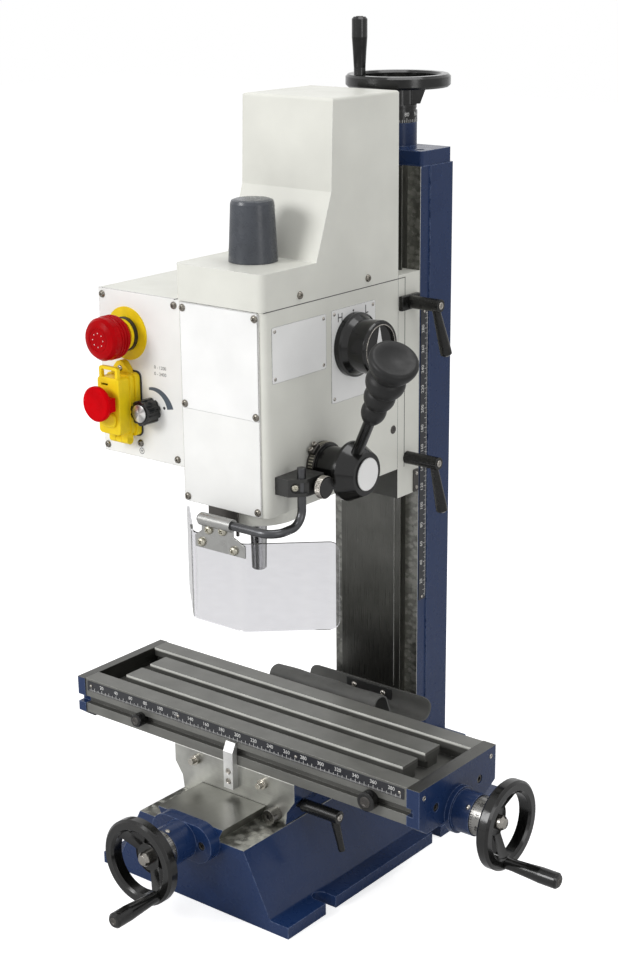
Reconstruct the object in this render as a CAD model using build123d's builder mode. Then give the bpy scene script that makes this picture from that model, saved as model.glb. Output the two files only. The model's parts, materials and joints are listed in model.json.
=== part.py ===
from build123d import *
import os

os.makedirs("parts", exist_ok=True)

# Frame: X along the table (operator's right is +X), Y from the operator to the
# column, Z up. X = 0 is the plane of symmetry, Y = 0 the spindle axis at rest,
# Z = 0 the underside of the base. Millimetres and degrees throughout.

# Fits shared by the whole machine
way_gap = 0.3
flank_gap = 0.45
turn_fit = 0.05
over = 1.0

# Base casting
base_half = 117.0
base_front = -106.0
base_rear = 246.0
flange_top = 11.6
slope_foot = 96.0
wing_half = 65.0
wing_top = 72.5
y_dove_half = 40.5
y_dove_root = 33.5
y_dove_top = 85.5
way_rear = 158.0
pad_top = 60.0
base_wall = 12.0
rib_half = 8.0
cavity_foot = 88.0
cavity_half = 62.0
cavity_top = 48.0
notch_half = 7.5
notch_end = 104.0
notch_ys = (-43.3, 128.8)
slot_half = 13.0
slot_ys = (-29.0, 154.0)
tunnel_r = 9.0
casting_round = 3.0
slope_lean = (slope_foot - wing_half) / (wing_top - flange_top)
pad_half = slope_foot - (pad_top - flange_top) * slope_lean

# Column casting
column_half = 52.0
column_side = 53.2
column_step = 198.0
column_back = 236.5
column_top = 661.0
column_round = 2.5
wing_face = 183.1
dove_face = 174.0
dove_half = 37.0
dove_root = 30.7
land_face = 173.0
land_half = 30.0
land_zs = (130.0, 655.0)
well_half = 40.0
well_ys = (197.0, 231.0)
nut_slot_half = 12.0
nut_slot_zs = (415.0, 655.0)

# Brackets that carry the leadscrews
screw_r = 7.0
journal_r = 6.0
z_screw_r = 8.0
z_axis_y = 218.0
z_screw_low = 405.0
z_plate_ys = (184.6, 234.0)
z_plate_top = 675.0
z_boss_r = 18.4
z_boss_top = 697.0
y_axis_z = 69.7
y_plate_front = -119.0
y_lobe_half = 37.0
y_lobe_r = 18.9
y_boss_r = 19.0
y_boss_front = -144.0
y_screw_front = -104.0
y_screw_rear = 152.0
bracket_bolt_x = 25.0
bolt_head_r = 4.3
bolt_sink = 4.0
z_bolt_x = 42.0
z_bolt_y = 196.0

# Saddle
saddle_half = 75.0
saddle_front = -44.0
saddle_rear = 75.2
saddle_top = 117.5
saddle_waist_z = 99.0
saddle_hip = 66.0
saddle_hip_z = 86.0
saddle_foot = 64.0
x_dove_root = 33.7
x_dove_half = 41.0
x_dove_top = 130.5
channel_half = 12.0
channel_floor = 102.5
y_nut_ys = (35.0, 65.0)
y_nut_half = 12.0
y_nut_low = 58.0
x_nut_half = 22.0
x_nut_top = 127.0
pointer_xs = (-5.5, 6.0)
pointer_front = -51.5
pointer_relief = 1.0
pointer_zs = (94.0, 141.0)
pointer_slope = 9.0
pointer_screw_zs = (101.8, 112.0)
pointer_screw_r = 3.3
gib_screw_xs = (-47.0, 38.0)
gib_screw_z = 108.0
gib_screw_r = 3.0
gib_screw_out = 9.0
lock_nut_r = 5.0
lock_nut_long = 4.0
y_gib_x = 53.0
y_gib_z = 82.0
y_gib_r = 7.0
y_gib_out = 12.0
socket_r = 2.6
socket_deep = 4.0
saddle_lever_y = -30.0
saddle_lever_z = 91.5

# Table and its end plates
table_x = 4.2
table_length = 400.0
table_y = 15.6
table_width = 120.0
table_top = 154.5
table_low = 117.8
slot_pitch = 35.0
neck_half = 6.0
neck_low = 145.5
tee_half = 10.0
tee_low = 137.5
pocket_long = 27.2
pocket_half = 41.0
groove_zs = (127.6, 135.4)
groove_deep = 6.0
left_plate = 10.0
right_plate = 13.8
plate_over = 1.0
plate_low = 109.0
plate_toe = 12.0
plate_heel = 2.0
x_axis_z = 114.5
x_screw_left = -186.0
x_boss_r = 19.5
x_boss_long = 23.5
x_collar_r = 22.0
x_collar_long = 5.0
plate_bolt_z = 129.5
stop_left_x = -118.5
stop_right_x = 164.5
stop_left_r = 6.8
stop_right_r = 9.2
stop_out = 9.0
stop_shank_r = 3.5

# Handwheels, dials and crank handles
dial_long = 13.0
dial_r = 18.6
wheel_hub_r = 18.0
wheel_dish = 9.0
z_wheel_dish = 20.0
hub_sink = 3.0
hub_face_r = 13.0
wheel_rim = 12.0
rim_wide = 11.0
hub_step = 3.0
cup_foot_r = 22.0
cup_top_r = 28.0
web_front = 8.0
spoke_half = 7.0
spoke_round = 2.5
rim_ease = 2.2
wheel_r = 41.5
z_wheel_r = 50.5
crank_inset = 7.5
pin_r = 3.0
pin_long = 42.0
crank_long = 53.5
crank_neck_r = 5.6
crank_swell_r = 6.6
crank_grip_r = 7.4
crank_neck_end = 7.0
crank_swell = 24.0
crank_full = 35.0
nut_r = 6.8
nut_flats = 5.4
nut_dome_r = 4.8
nut_dome = 8.1
nut_long = 9.0
x_crank_way = (0.0, -0.2, -0.98)
y_crank_way = (0.66, 0.0, -0.75)
z_crank_way = (-0.37, -0.93, 0.0)

# Carriage on the column
carriage_front = 148.4
carriage_zs = (343.0, 563.0)
tilt_z = 453.0
spigot_r = 20.0
spigot_deep = 11.5
z_nut_r = 11.5
z_nut_zs = (532.0, 556.0)
z_arm_half = 10.0
clamp_y = 163.5
clamp_zs = (536.2, 381.6)

# Clamp levers
lever_shaft_r = 4.0
lever_shaft_in = 10.0
lever_hub_r = 6.2
lever_hub_long = 38.0
saddle_hub_long = 42.0
lever_arm = 50.0
lever_neck_r = 4.0
lever_neck = 10.0
lever_tip_r = 5.6
lever_tip = 7.0
lever_nose_r = 2.8
upper_way = (0.12, 0.22, -0.97)
lower_way = (0.12, 0.14, -0.98)
saddle_way = (0.22, 0.05, -0.97)
saddle_arm = 33.5
saddle_tip_r = 3.3

# Milling head
head_half = 52.0
head_front = -47.7
head_rear = 148.0
head_zs = (373.0, 560.0)
head_round = 8.0
nose_boss_r = 40.0
nose_boss_low = 357.0
quill_r = 20.0
gear_room_half = 42.0
gear_room_ys = (-36.0, 136.0)
gear_room_low = 515.0
panel_half = 45.7
panel_thick = 1.5
panel_round = 2.0
cover_low = 560.0
cover_ease = 2.5
cover_deck = 593.2
cover_slope_foot = 25.0
cover_slope_head = (47.0, 653.0)
cover_crown = (50.0, 734.0)
cover_wall = 3.0
cover_hole_r = 19.0
cap_base_r = 22.2
cap_top_r = 19.6
cap_tall = 55.0
cap_wall = 2.5
cap_round = 3.5
cap_shoulder = 1.0

# Control box on the left of the head
box_xs = (-176.6, -52.0)
box_ys = (-18.5, 92.0)
box_zs = (392.7, 552.7)
box_wall = 2.0
box_face = -20.0
estop_x = -141.0
estop_z = 512.5
estop_ring_r = 25.5
estop_collar_r = 15.0
estop_shank_r = 11.0
estop_collar_long = 9.5
estop_head_r = 20.3
estop_head_back = 14.0
estop_head_long = 25.0
estop_back_r = 18.3
estop_brow_r = 17.8
estop_dish_r = 13.3
estop_back = 3.0
estop_side = 20.0
estop_brow = 23.5
switch_xs = (-156.5, -128.5)
switch_zs = (419.5, 474.5)
switch_round = 4.0
frame_xs = (-158.5, -125.6)
frame_zs = (415.5, 476.5)
frame_front = -27.0
ear_x = -145.5
ear_z = 479.6
ear_r = 7.2
ear_foot = 24.0
flap_ys = (-47.0, -27.3)
flap_step_y = -33.0
flap_step = 1.2
flap_wall = 2.0
flap_ease = 1.0
flap_slot_xs = (-151.5, -142.5)
flap_slot_zs = (466.6, 468.6)
bail_half = 12.0
bail_top = 485.0
bail_bar = 3.2
bail_deep = 3.6
hinge_y = -32.0
hinge_z = 412.0
hinge_r = 4.0
hinge_pin_r = 1.5
tab_half = 3.5
lug_half = 4.0
lug_x = 8.0
paddle_x = -146.0
paddle_z = 450.8
paddle_r = 17.0
paddle_edge = 3.0
paddle_face_r = 15.5
paddle_stem_r = 7.0
paddle_ys = (-61.5, -57.0)
paddle_stem_rear = -42.0
paddle_tab_x = -130.0
paddle_tab_y = -50.4
paddle_tab_half = 6.5
key_half = 8.0
key_ys = (-35.2, -29.9)
key_z = 458.0
key_stem_rear = -19.0
speed_x = -112.8
speed_z = 442.0
speed_r = 12.2
speed_long = 16.0
speed_face_r = 8.6
flute_count = 10
flute_r = 2.6
shaft_r = 3.0
shaft_in = 9.0

# Gear-range knob
range_y = 78.4
range_z = 510.3
range_flange_r = 29.9
range_neck_r = 24.6
range_grip_r = 25.6
range_ring_r = 21.5
range_xs = (52.6, 58.0, 64.0, 83.5)
range_shaft_r = 6.0
range_shaft_in = 8.0

# Quill feed
feed_y = 28.0
feed_z = 407.0
feed_shaft_r = 8.4
feed_shaft_in = -10.0
feed_ring_r = 21.5
feed_collar_r = 19.0
feed_hub_r = 27.6
feed_face_r = 20.0
feed_disc_r = 15.5
feed_xs = (52.5, 61.0, 82.0, 86.5, 89.5, 105.5, 106.5)
lever_root_x = 86.0
feed_lever_way = (0.532, -0.284, 0.798)
feed_rod_r = 5.2
feed_rod_start = 12.0
grip_start = 74.5
grip_collar = 5.0
grip_collar_r = 8.4
grip_folds = ((10.6, 14.0), (13.4, 31.0), (16.9, 51.0), (22.0, 75.0))
fold_half = 3.0
waist_share = 0.75
grip_lip = 80.8
grip_lip_r = 18.5
grip_dish = 79.3

# Spindle group
quill_zs = (357.5, 505.0)
rack_flat = 19.2
spindle_r = 12.5
spindle_nose = 358.0
spindle_shoulder = 470.0
spindle_top = 588.0
spindle_neck_r = 9.0
bore_r = 8.0
bore_top = 440.0
drawbar_r = 5.0
drawbar_top = 601.0
drawbar_head = 589.0
arbor_tip = 303.0
arbor_root_r = 8.3
arbor_tip_r = 6.9

# Motor and gears
motor_y = 98.0
motor_r = 38.0
motor_zs = (563.0, 712.0)
motor_plate_half = 46.0
motor_plate_ys = (58.0, 138.0)
cluster_y = 52.0
gear_shaft_r = 6.0
pinion_r = 13.8
large_gear_r = 31.8
small_gear_r = 19.8
high_gear_zs = (541.0, 553.0)
low_gear_zs = (526.0, 538.0)
sleeve_r = 16.0

# Chip guard
guard_x = 72.0
guard_y = -24.0
guard_block_xs = (52.0, 79.0)
guard_block_ys = (-37.0, 1.0)
guard_block_zs = (394.0, 410.0)
block_chamfer = 12.0
block_slot_along = 6.9
block_slot_long = 12.0
block_slot_r = 4.8
block_slot_deep = 2.0
guard_rod_r = 4.0
guard_rod_top = 419.6
guard_bar_y = -64.0
guard_bar_z = 366.0
guard_bar_left = -15.5
guard_bend = 15.0
tube_xs = (-13.0, 24.5)
tube_r = 6.0
bracket_thick = 1.6
bracket_low = 338.0
bracket_low_xs = (-21.0, 38.4)
bracket_mid_z = 349.0
shield_path = ((-86.0, -3.0), (-27.0, -61.4), (33.0, -61.4), (98.0, -3.0))
shield_bend = 14.0
shield_thick = 2.4
shield_zs = (265.5, 350.0)
shield_round = 9.0
knob_y = -12.0
knob_z = 401.5
knob_r = 10.0
knob_neck_r = 5.5
knob_xs = (79.4, 84.5, 91.6)
knob_shank_r = 3.0

# Rubber apron over the Y ways
apron_half = 67.0
apron_flap_half = 78.0
apron_thick = 1.6
apron_path = ((76.4, 112.0), (86.0, 118.0), (93.0, 152.0), (110.0, 152.0), (122.0, 118.0), (173.2, 112.0))
apron_bend = 7.0
apron_flap_zs = (98.0, 128.0)

# Screws on the head
pan_r = 3.0
pan_shoulder_r = 2.5
pan_crown_r = 1.2
pan_shoulder = 1.2
pan_tall = 2.0
front_screw_x = 42.0
front_screw_zs = (554.0, 466.0, 378.0)
box_screws = ((-172.0, 546.5), (-80.0, 546.5), (-172.5, 398.8), (-81.0, 398.8), (-128.5, 407.0))
cover_screws = ((1.0, 568.0), (100.5, 568.0))

LEFT = (-1, 0, 0)
RIGHT = (1, 0, 0)
FRONT = (0, -1, 0)
BACK = (0, 1, 0)
UP = (0, 0, 1)
DOWN = (0, 0, -1)
CUT = Mode.SUBTRACT
SEATED = (Align.CENTER, Align.CENTER, Align.MIN)


def block(xs, ys, zs, mode=Mode.ADD):
    """Box between a pair of planes along each axis."""
    spans = (xs, ys, zs)
    centre = tuple((low + high) / 2 for low, high in spans)
    with Locations(centre):
        Box(*(high - low for low, high in spans), mode=mode)


def bar(start, way, radius, length, mode=Mode.ADD):
    """Round bar from a point along a direction."""
    with Locations(Plane(origin=start, z_dir=way)):
        Cylinder(radius, length, align=SEATED, mode=mode)


def turned(start, way, profile, mode=Mode.ADD):
    """Lathe shape from (radius, height) corners about an axis."""
    across = Plane(origin=start, z_dir=way).x_dir
    side = Plane(origin=start, x_dir=across, z_dir=across.cross(Vector(*way)))
    with BuildSketch(side) as outline:
        with BuildLine():
            Polyline(*profile, close=True)
        make_face()
    revolve(outline.sketch, axis=Axis(start, way), mode=mode)


def extruded(plane, corners, amount, mode=Mode.ADD):
    """Flat outline on a plane, carried along its normal."""
    with BuildSketch(plane) as outline:
        with BuildLine():
            Polyline(*corners, close=True)
        make_face()
    extrude(outline.sketch, amount=amount, mode=mode)


def along_x(corners, x0, x1, mode=Mode.ADD):
    """Outline in (Y, Z) carried from x0 to x1."""
    extruded(Plane.YZ.offset(x0), corners, x1 - x0, mode)


def along_y(corners, y0, y1, mode=Mode.ADD):
    """Outline in (X, Z) carried from y0 to y1."""
    extruded(Plane.XZ.offset(-y0), corners, y0 - y1, mode)


def along_z(corners, z0, z1, mode=Mode.ADD):
    """Outline in (X, Y) carried from z0 to z1."""
    extruded(Plane.XY.offset(z0), corners, z1 - z0, mode)


def both_sides(corners):
    """Outline made symmetric about its second axis."""
    return list(corners) + [(-a, b) for a, b in reversed(corners)]


def shifted(start, way, distance):
    """Point at a distance from start along a unit direction."""
    return tuple(a + b * distance for a, b in zip(start, way))


def unit(way):
    """Direction of length one."""
    return tuple(Vector(*way).normalized())


def rounded_block(xs, ys, zs, radius):
    """Block with its four edges along Y rounded."""
    with BuildSketch(Plane.XZ.offset(-ys[1])) as outline:
        with Locations((sum(xs) / 2, sum(zs) / 2)):
            RectangleRounded(xs[1] - xs[0], zs[1] - zs[0], radius)
    extrude(outline.sketch, amount=ys[1] - ys[0])


def hollow_bar(start, way, outer, inner, length):
    """Ring or tube, seated at start."""
    bar(start, way, outer, length)
    bar(shifted(start, way, -over), way, inner, length + 2 * over, CUT)


# Frame: base, column and the two fixed brackets

with BuildPart() as base:
    foot = [(slope_foot, flange_top), (base_half, flange_top), (base_half, 0)]
    ways = [(y_dove_half, y_dove_top), (y_dove_root, wing_top), (wing_half, wing_top)]
    along_y(both_sides(ways + foot), base_front, way_rear)
    along_y(both_sides([(pad_half, pad_top)] + foot), way_rear, base_rear)
    slope_feet = base.edges().filter_by(Axis.Y).group_by(Axis.Z)[1]
    fillet([e for e in slope_feet if abs(abs(e.center().X) - slope_foot) < over], casting_round)
    hollow = both_sides([(cavity_half, cavity_top), (cavity_foot, -over)])
    along_y(hollow, base_front + base_wall, -rib_half, CUT)
    along_y(hollow, rib_half, base_rear - base_wall, CUT)
    block((-slot_half, slot_half), slot_ys, (cavity_top - over, y_dove_top + over), CUT)
    bar((0, base_front - over, y_axis_z), BACK, tunnel_r, base_rear - base_front, CUT)
    for side in (-1, 1):
        for notch_y in notch_ys:
            mouth = (side * notch_end, side * (base_half + over))
            block((min(mouth), max(mouth)), (notch_y - notch_half, notch_y + notch_half),
                  (-over, flange_top + over), CUT)
            bar((side * notch_end, notch_y, -over), UP, notch_half, flange_top + 2 * over, CUT)

with BuildPart() as column:
    section = [(dove_half, dove_face), (dove_root, wing_face), (column_half, wing_face),
               (column_half, column_step), (column_side, column_step), (column_side, column_back)]
    along_z(both_sides(section), pad_top, column_top)
    fillet(column.edges().filter_by(Axis.Z).group_by(Axis.Y)[-1], column_round)
    block((-land_half, land_half), (land_face, dove_face), land_zs)
    block((-well_half, well_half), well_ys, (pad_top - over, column_top + over), CUT)
    block((-nut_slot_half, nut_slot_half), (land_face - over, well_ys[0] + over), nut_slot_zs, CUT)

with BuildPart() as z_bracket:
    block((-column_half, column_half), z_plate_ys, (column_top, z_plate_top))
    fillet(z_bracket.edges().filter_by(Axis.Z), casting_round)
    bar((0, z_axis_y, z_plate_top), UP, z_boss_r, z_boss_top - z_plate_top)
    bar((0, z_axis_y, column_top - over), UP, journal_r + turn_fit, z_boss_top - column_top + 2 * over, CUT)
    for bolt_x in (-z_bolt_x, z_bolt_x):
        bar((bolt_x, z_bolt_y, z_plate_top - bolt_sink), UP, bolt_head_r, bolt_sink + over, CUT)

with BuildPart() as y_bracket:
    with BuildSketch(Plane.XZ.offset(-base_front)):
        with Locations((0, y_axis_z)):
            SlotOverall(2 * y_lobe_half, 2 * y_lobe_r)
    extrude(amount=base_front - y_plate_front)
    bar((0, y_plate_front, y_axis_z), FRONT, y_boss_r, y_plate_front - y_boss_front)
    bar((0, base_front + over, y_axis_z), FRONT, journal_r + turn_fit,
        base_front - y_boss_front + 2 * over, CUT)
    for bolt_x in (-bracket_bolt_x, bracket_bolt_x):
        bar((bolt_x, y_plate_front + bolt_sink, y_axis_z), FRONT, bolt_head_r, bolt_sink + over, CUT)

# Saddle group, moves along Y

with BuildPart() as saddle:
    along_y(both_sides([(saddle_half, saddle_top), (saddle_half, saddle_waist_z),
                        (saddle_hip, saddle_hip_z),
                        (saddle_foot, wing_top + way_gap)]), saddle_front, saddle_rear)
    dove = [(table_y - x_dove_root, saddle_top), (table_y + x_dove_root, saddle_top),
            (table_y + x_dove_half, x_dove_top), (table_y - x_dove_half, x_dove_top)]
    along_x(dove, -saddle_half, saddle_half)
    y_way = [(y_dove_half + flank_gap, y_dove_top + way_gap), (y_dove_root + flank_gap, wing_top),
             (y_dove_root + flank_gap, wing_top - over)]
    along_y(both_sides(y_way), saddle_front - over, saddle_rear + over, CUT)
    block((-saddle_half - over, saddle_half + over), (table_y - channel_half, table_y + channel_half),
          (channel_floor, x_dove_top + over), CUT)
    bar((saddle_half + over, saddle_lever_y, saddle_lever_z), LEFT, lever_shaft_r + turn_fit,
        saddle_half - saddle_hip + lever_shaft_in, CUT)

with BuildPart() as saddle_nuts:
    block((-y_nut_half, y_nut_half), y_nut_ys, (y_nut_low, y_dove_top + way_gap))
    bar((0, y_nut_ys[0] - over, y_axis_z), BACK, screw_r + turn_fit, y_nut_ys[1] - y_nut_ys[0] + 2 * over,
        CUT)
    block((-x_nut_half, x_nut_half), (table_y - channel_half, table_y + channel_half),
          (channel_floor, x_nut_top))
    bar((-x_nut_half - over, table_y, x_axis_z), RIGHT, screw_r + turn_fit, 2 * (x_nut_half + over), CUT)

with BuildPart() as saddle_pointer:
    low, high = pointer_zs
    relief = saddle_front - pointer_relief
    along_x([(pointer_front, low), (saddle_front, low), (saddle_front, saddle_top), (relief, saddle_top),
             (relief, high), (pointer_front + pointer_slope / 2, high),
             (pointer_front, high - pointer_slope)],
            *pointer_xs)
    for screw_z in pointer_screw_zs:
        bar((sum(pointer_xs) / 2, pointer_front - over, screw_z), BACK, pointer_screw_r, bolt_sink, CUT)

with BuildPart() as saddle_screws:
    for screw_x in gib_screw_xs:
        bar((screw_x, saddle_front, gib_screw_z), FRONT, lock_nut_r, lock_nut_long)
        bar((screw_x, saddle_front - lock_nut_long, gib_screw_z), FRONT, gib_screw_r,
            gib_screw_out - lock_nut_long)
    bar((y_gib_x, saddle_front, y_gib_z), FRONT, y_gib_r, y_gib_out)
    bar((y_gib_x, saddle_front - y_gib_out + socket_deep, y_gib_z), FRONT, socket_r, socket_deep + over,
        CUT)

with BuildPart() as way_apron:
    with BuildSketch(Plane.YZ.offset(-apron_half)):
        with BuildLine():
            FilletPolyline(*apron_path, radius=apron_bend)
        trace(line_width=apron_thick)
    extrude(amount=2 * apron_half)
    block((-apron_flap_half, apron_flap_half), (dove_face - apron_thick, dove_face), apron_flap_zs)

# Table group, moves along X on the saddle

table_left = table_x - table_length / 2
table_right = table_x + table_length / 2
table_front = table_y - table_width / 2
table_rear = table_y + table_width / 2

with BuildPart() as table:
    block((table_left, table_right), (table_front, table_rear), (table_low, table_top))
    x_way = [(x_dove_half + flank_gap, x_dove_top + way_gap), (x_dove_root + flank_gap, saddle_top),
             (x_dove_root + flank_gap, saddle_top - over)]
    along_x([(table_y + half, z) for half, z in both_sides(x_way)], table_left - over, table_right + over,
            CUT)
    for slot_y in (table_y - slot_pitch, table_y, table_y + slot_pitch):
        for half, low in ((neck_half, neck_low), (tee_half, tee_low)):
            block((table_left - over, table_right + over), (slot_y - half, slot_y + half),
                  (low, table_top + over if half == neck_half else neck_low), CUT)
    for ends in ((table_left - over, table_left + pocket_long),
                 (table_right - pocket_long, table_right + over)):
        block(ends, (table_y - pocket_half, table_y + pocket_half), (tee_low, table_top + over), CUT)
    block((table_left - over, table_right + over), (table_front - over, table_front + groove_deep),
          groove_zs, CUT)

plate_front = table_front - plate_over
plate_rear = table_rear + plate_over
plate_outline = [(plate_front, table_top), (plate_rear, table_top), (plate_rear, table_low + plate_heel),
                 (plate_rear - x_boss_r, plate_low), (plate_front + plate_toe, plate_low),
                 (plate_front, table_low)]
plate_bolts = [(table_y - slot_pitch, plate_bolt_z), (table_y + slot_pitch, plate_bolt_z)]

with BuildPart() as end_plate_left:
    along_x(plate_outline, table_left - left_plate, table_left)
    block((table_left - left_plate - over, table_left + over),
          (plate_front - over, table_front + groove_deep),
          groove_zs, CUT)
    for bolt_y, bolt_z in plate_bolts:
        bar((table_left - left_plate + bolt_sink, bolt_y, bolt_z), LEFT, bolt_head_r, bolt_sink + over, CUT)

with BuildPart() as end_plate_right:
    along_x(plate_outline, table_right, table_right + right_plate)
    block((table_right - over, table_right + right_plate / 2),
          (plate_front - over, table_front + groove_deep),
          groove_zs, CUT)
    plate_face = table_right + right_plate
    bar((plate_face, table_y, x_axis_z), RIGHT, x_collar_r, x_collar_long)
    bar((plate_face, table_y, x_axis_z), RIGHT, x_boss_r, x_boss_long)
    bar((table_right - over, table_y, x_axis_z), RIGHT, journal_r + turn_fit,
        right_plate + x_boss_long + 2 * over, CUT)
    for bolt_y, bolt_z in plate_bolts:
        bar((plate_face - bolt_sink, bolt_y, bolt_z), RIGHT, bolt_head_r, bolt_sink + over, CUT)


def table_stop(stop_x, radius):
    """Clamp screw with its shank in the front groove of the table."""
    groove_z = sum(groove_zs) / 2
    head = (stop_x, table_front - way_gap, groove_z)
    turned(head, FRONT, [(0, 0), (radius, 0), (radius, stop_out - over), (radius - over, stop_out),
                         (0, stop_out)])
    bar(head, BACK, stop_shank_r, groove_deep)
    bar(shifted(head, FRONT, stop_out - socket_deep), FRONT, socket_r, socket_deep + over, CUT)


with BuildPart() as stop_left:
    table_stop(stop_left_x, stop_left_r)

with BuildPart() as stop_right:
    table_stop(stop_right_x, stop_right_r)


# Leadscrews, dials, handwheels and crank handles

def dial_ring(seat, way):
    """Graduated ring on a leadscrew journal, with a narrow locking bead."""
    turned(seat, way, [(journal_r, 0), (dial_r, 0), (dial_r, dial_long - 2 * over),
                       (dial_r - over, dial_long - 2 * over),
                       (dial_r - over, dial_long), (journal_r, dial_long)])


def handwheel(seat, way, crank_way, radius, dish):
    """Dished two-spoke wheel with the pin of its crank handle."""
    rim_front = dish + wheel_rim
    inner = radius - rim_wide
    hub_face = dish - hub_sink
    turned(seat, way, [(journal_r, 0), (wheel_hub_r, 0), (wheel_hub_r, hub_step), (cup_foot_r, hub_step),
                       (cup_top_r, hub_face), (inner, dish),
                       (radius - rim_ease, dish), (radius, dish + rim_ease),
                       (radius, rim_front - rim_ease), (radius - rim_ease, rim_front),
                       (inner + rim_ease, rim_front), (inner, rim_front - rim_ease),
                       (inner, dish + web_front), (hub_face_r, hub_face), (journal_r, hub_face)])
    openings = Plane(origin=shifted(seat, way, hub_step), x_dir=Vector(*crank_way).cross(Vector(*way)),
                     z_dir=way)
    with BuildSketch(openings) as kidneys:
        Circle(inner)
        Circle(hub_face_r, mode=CUT)
        Rectangle(2 * spoke_half, 2 * radius, mode=CUT)
        fillet(kidneys.vertices(), spoke_round)
    extrude(kidneys.sketch, amount=rim_front, mode=CUT)
    bar(crank_seat(seat, way, crank_way, radius, dish), way, pin_r, pin_long)


def crank_seat(seat, way, crank_way, radius, dish):
    """Point on the front of the rim where the crank handle stands."""
    return shifted(shifted(seat, way, dish + wheel_rim - over), crank_way, radius - crank_inset)


def crank_handle(seat, way, crank_way, radius, dish):
    """Revolving handle, bored for its pin."""
    foot = shifted(crank_seat(seat, way, crank_way, radius, dish), way, over + way_gap)
    bore = pin_r + turn_fit
    turned(foot, way, [(bore, 0), (crank_neck_r, 0), (crank_neck_r, crank_neck_end),
                       (crank_swell_r, crank_swell),
                       (crank_grip_r, crank_full), (crank_grip_r, crank_long - 2 * over),
                       (crank_neck_r, crank_long), (0, crank_long), (0, pin_long), (bore, pin_long)])


def leadscrew(start, way, thread, length, journal):
    """Screw, its journal through dial and wheel, and the domed wheel nut."""
    shoulder = shifted(start, way, length)
    bar(start, way, thread, length)
    bar(shoulder, way, journal_r, journal)
    turned(shifted(shoulder, way, journal), way,
           [(0, 0), (nut_r, 0), (nut_r, nut_flats), (nut_dome_r, nut_dome), (0, nut_long)])


x_dial_seat = (plate_face + x_boss_long + way_gap, table_y, x_axis_z)
x_wheel_seat = shifted(x_dial_seat, RIGHT, dial_long)
y_dial_seat = (0, y_boss_front - way_gap, y_axis_z)
y_wheel_seat = shifted(y_dial_seat, FRONT, dial_long)
z_dial_seat = (0, z_axis_y, z_boss_top + way_gap)
z_wheel_seat = shifted(z_dial_seat, UP, dial_long)
hub_end = dial_long + wheel_dish - hub_sink
z_hub_end = dial_long + z_wheel_dish - hub_sink

with BuildPart() as x_screw:
    leadscrew((x_screw_left, table_y, x_axis_z), RIGHT, screw_r, table_right - x_screw_left - over,
              x_dial_seat[0] + hub_end - table_right + over)

with BuildPart() as y_screw:
    leadscrew((0, y_screw_rear, y_axis_z), FRONT, screw_r, y_screw_rear - y_screw_front,
              y_screw_front - y_dial_seat[1] + hub_end)

with BuildPart() as z_screw:
    leadscrew((0, z_axis_y, z_screw_low), UP, z_screw_r, column_top - z_screw_low - over,
              z_dial_seat[2] + z_hub_end - column_top + over)

with BuildPart() as x_dial:
    dial_ring(x_dial_seat, RIGHT)

with BuildPart() as y_dial:
    dial_ring(y_dial_seat, FRONT)

with BuildPart() as z_dial:
    dial_ring(z_dial_seat, UP)

with BuildPart() as x_wheel:
    handwheel(x_wheel_seat, RIGHT, x_crank_way, wheel_r, wheel_dish)

with BuildPart() as y_wheel:
    handwheel(y_wheel_seat, FRONT, y_crank_way, wheel_r, wheel_dish)

with BuildPart() as z_wheel:
    handwheel(z_wheel_seat, UP, z_crank_way, z_wheel_r, z_wheel_dish)

with BuildPart() as x_crank:
    crank_handle(x_wheel_seat, RIGHT, x_crank_way, wheel_r, wheel_dish)

with BuildPart() as y_crank:
    crank_handle(y_wheel_seat, FRONT, y_crank_way, wheel_r, wheel_dish)

with BuildPart() as z_crank:
    crank_handle(z_wheel_seat, UP, z_crank_way, z_wheel_r, z_wheel_dish)

# Carriage group, moves along Z on the column

with BuildPart() as carriage:
    block((-column_half, column_half), (carriage_front, wing_face - way_gap), carriage_zs)
    z_way = [(dove_half + flank_gap, land_face - way_gap), (dove_half + flank_gap, dove_face),
             (dove_root + flank_gap, wing_face), (dove_root + flank_gap, wing_face + over)]
    along_z(both_sides(z_way), carriage_zs[0] - over, carriage_zs[1] + over, CUT)
    bar((0, carriage_front - over, tilt_z), BACK, spigot_r + turn_fit, spigot_deep + 2 * over, CUT)
    for clamp_z in clamp_zs:
        bar((column_half + over, clamp_y, clamp_z), LEFT, lever_shaft_r + turn_fit,
            lever_shaft_in + 2 * over, CUT)

with BuildPart() as z_nut:
    block((-z_arm_half, z_arm_half), (land_face - way_gap, z_axis_y), z_nut_zs)
    bar((0, z_axis_y, z_nut_zs[0]), UP, z_nut_r, z_nut_zs[1] - z_nut_zs[0])
    bar((0, z_axis_y, z_nut_zs[0] - over), UP, z_screw_r + turn_fit, z_nut_zs[1] - z_nut_zs[0] + 2 * over,
        CUT)


def clamp_lever(seat, reach, arm_way, arm, tip_r):
    """Ratchet lever: shaft, hub and a tapered grip."""
    bar(shifted(seat, LEFT, lever_shaft_in), RIGHT, lever_shaft_r, lever_shaft_in + over)
    bar(shifted(seat, RIGHT, way_gap), RIGHT, lever_hub_r, reach)
    root = shifted(seat, RIGHT, reach - lever_hub_r)
    turned(root, arm_way, [(0, 0), (lever_neck_r, 0), (lever_neck_r, lever_neck),
                           (tip_r, arm - lever_tip),
                           (tip_r, arm), (lever_nose_r, arm + 2 * over), (0, arm + 2 * over)])


with BuildPart() as z_lever_upper:
    clamp_lever((column_half, clamp_y, clamp_zs[0]), lever_hub_long, unit(upper_way), lever_arm, lever_tip_r)

with BuildPart() as z_lever_lower:
    clamp_lever((column_half, clamp_y, clamp_zs[1]), lever_hub_long, unit(lower_way), lever_arm, lever_tip_r)

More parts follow.
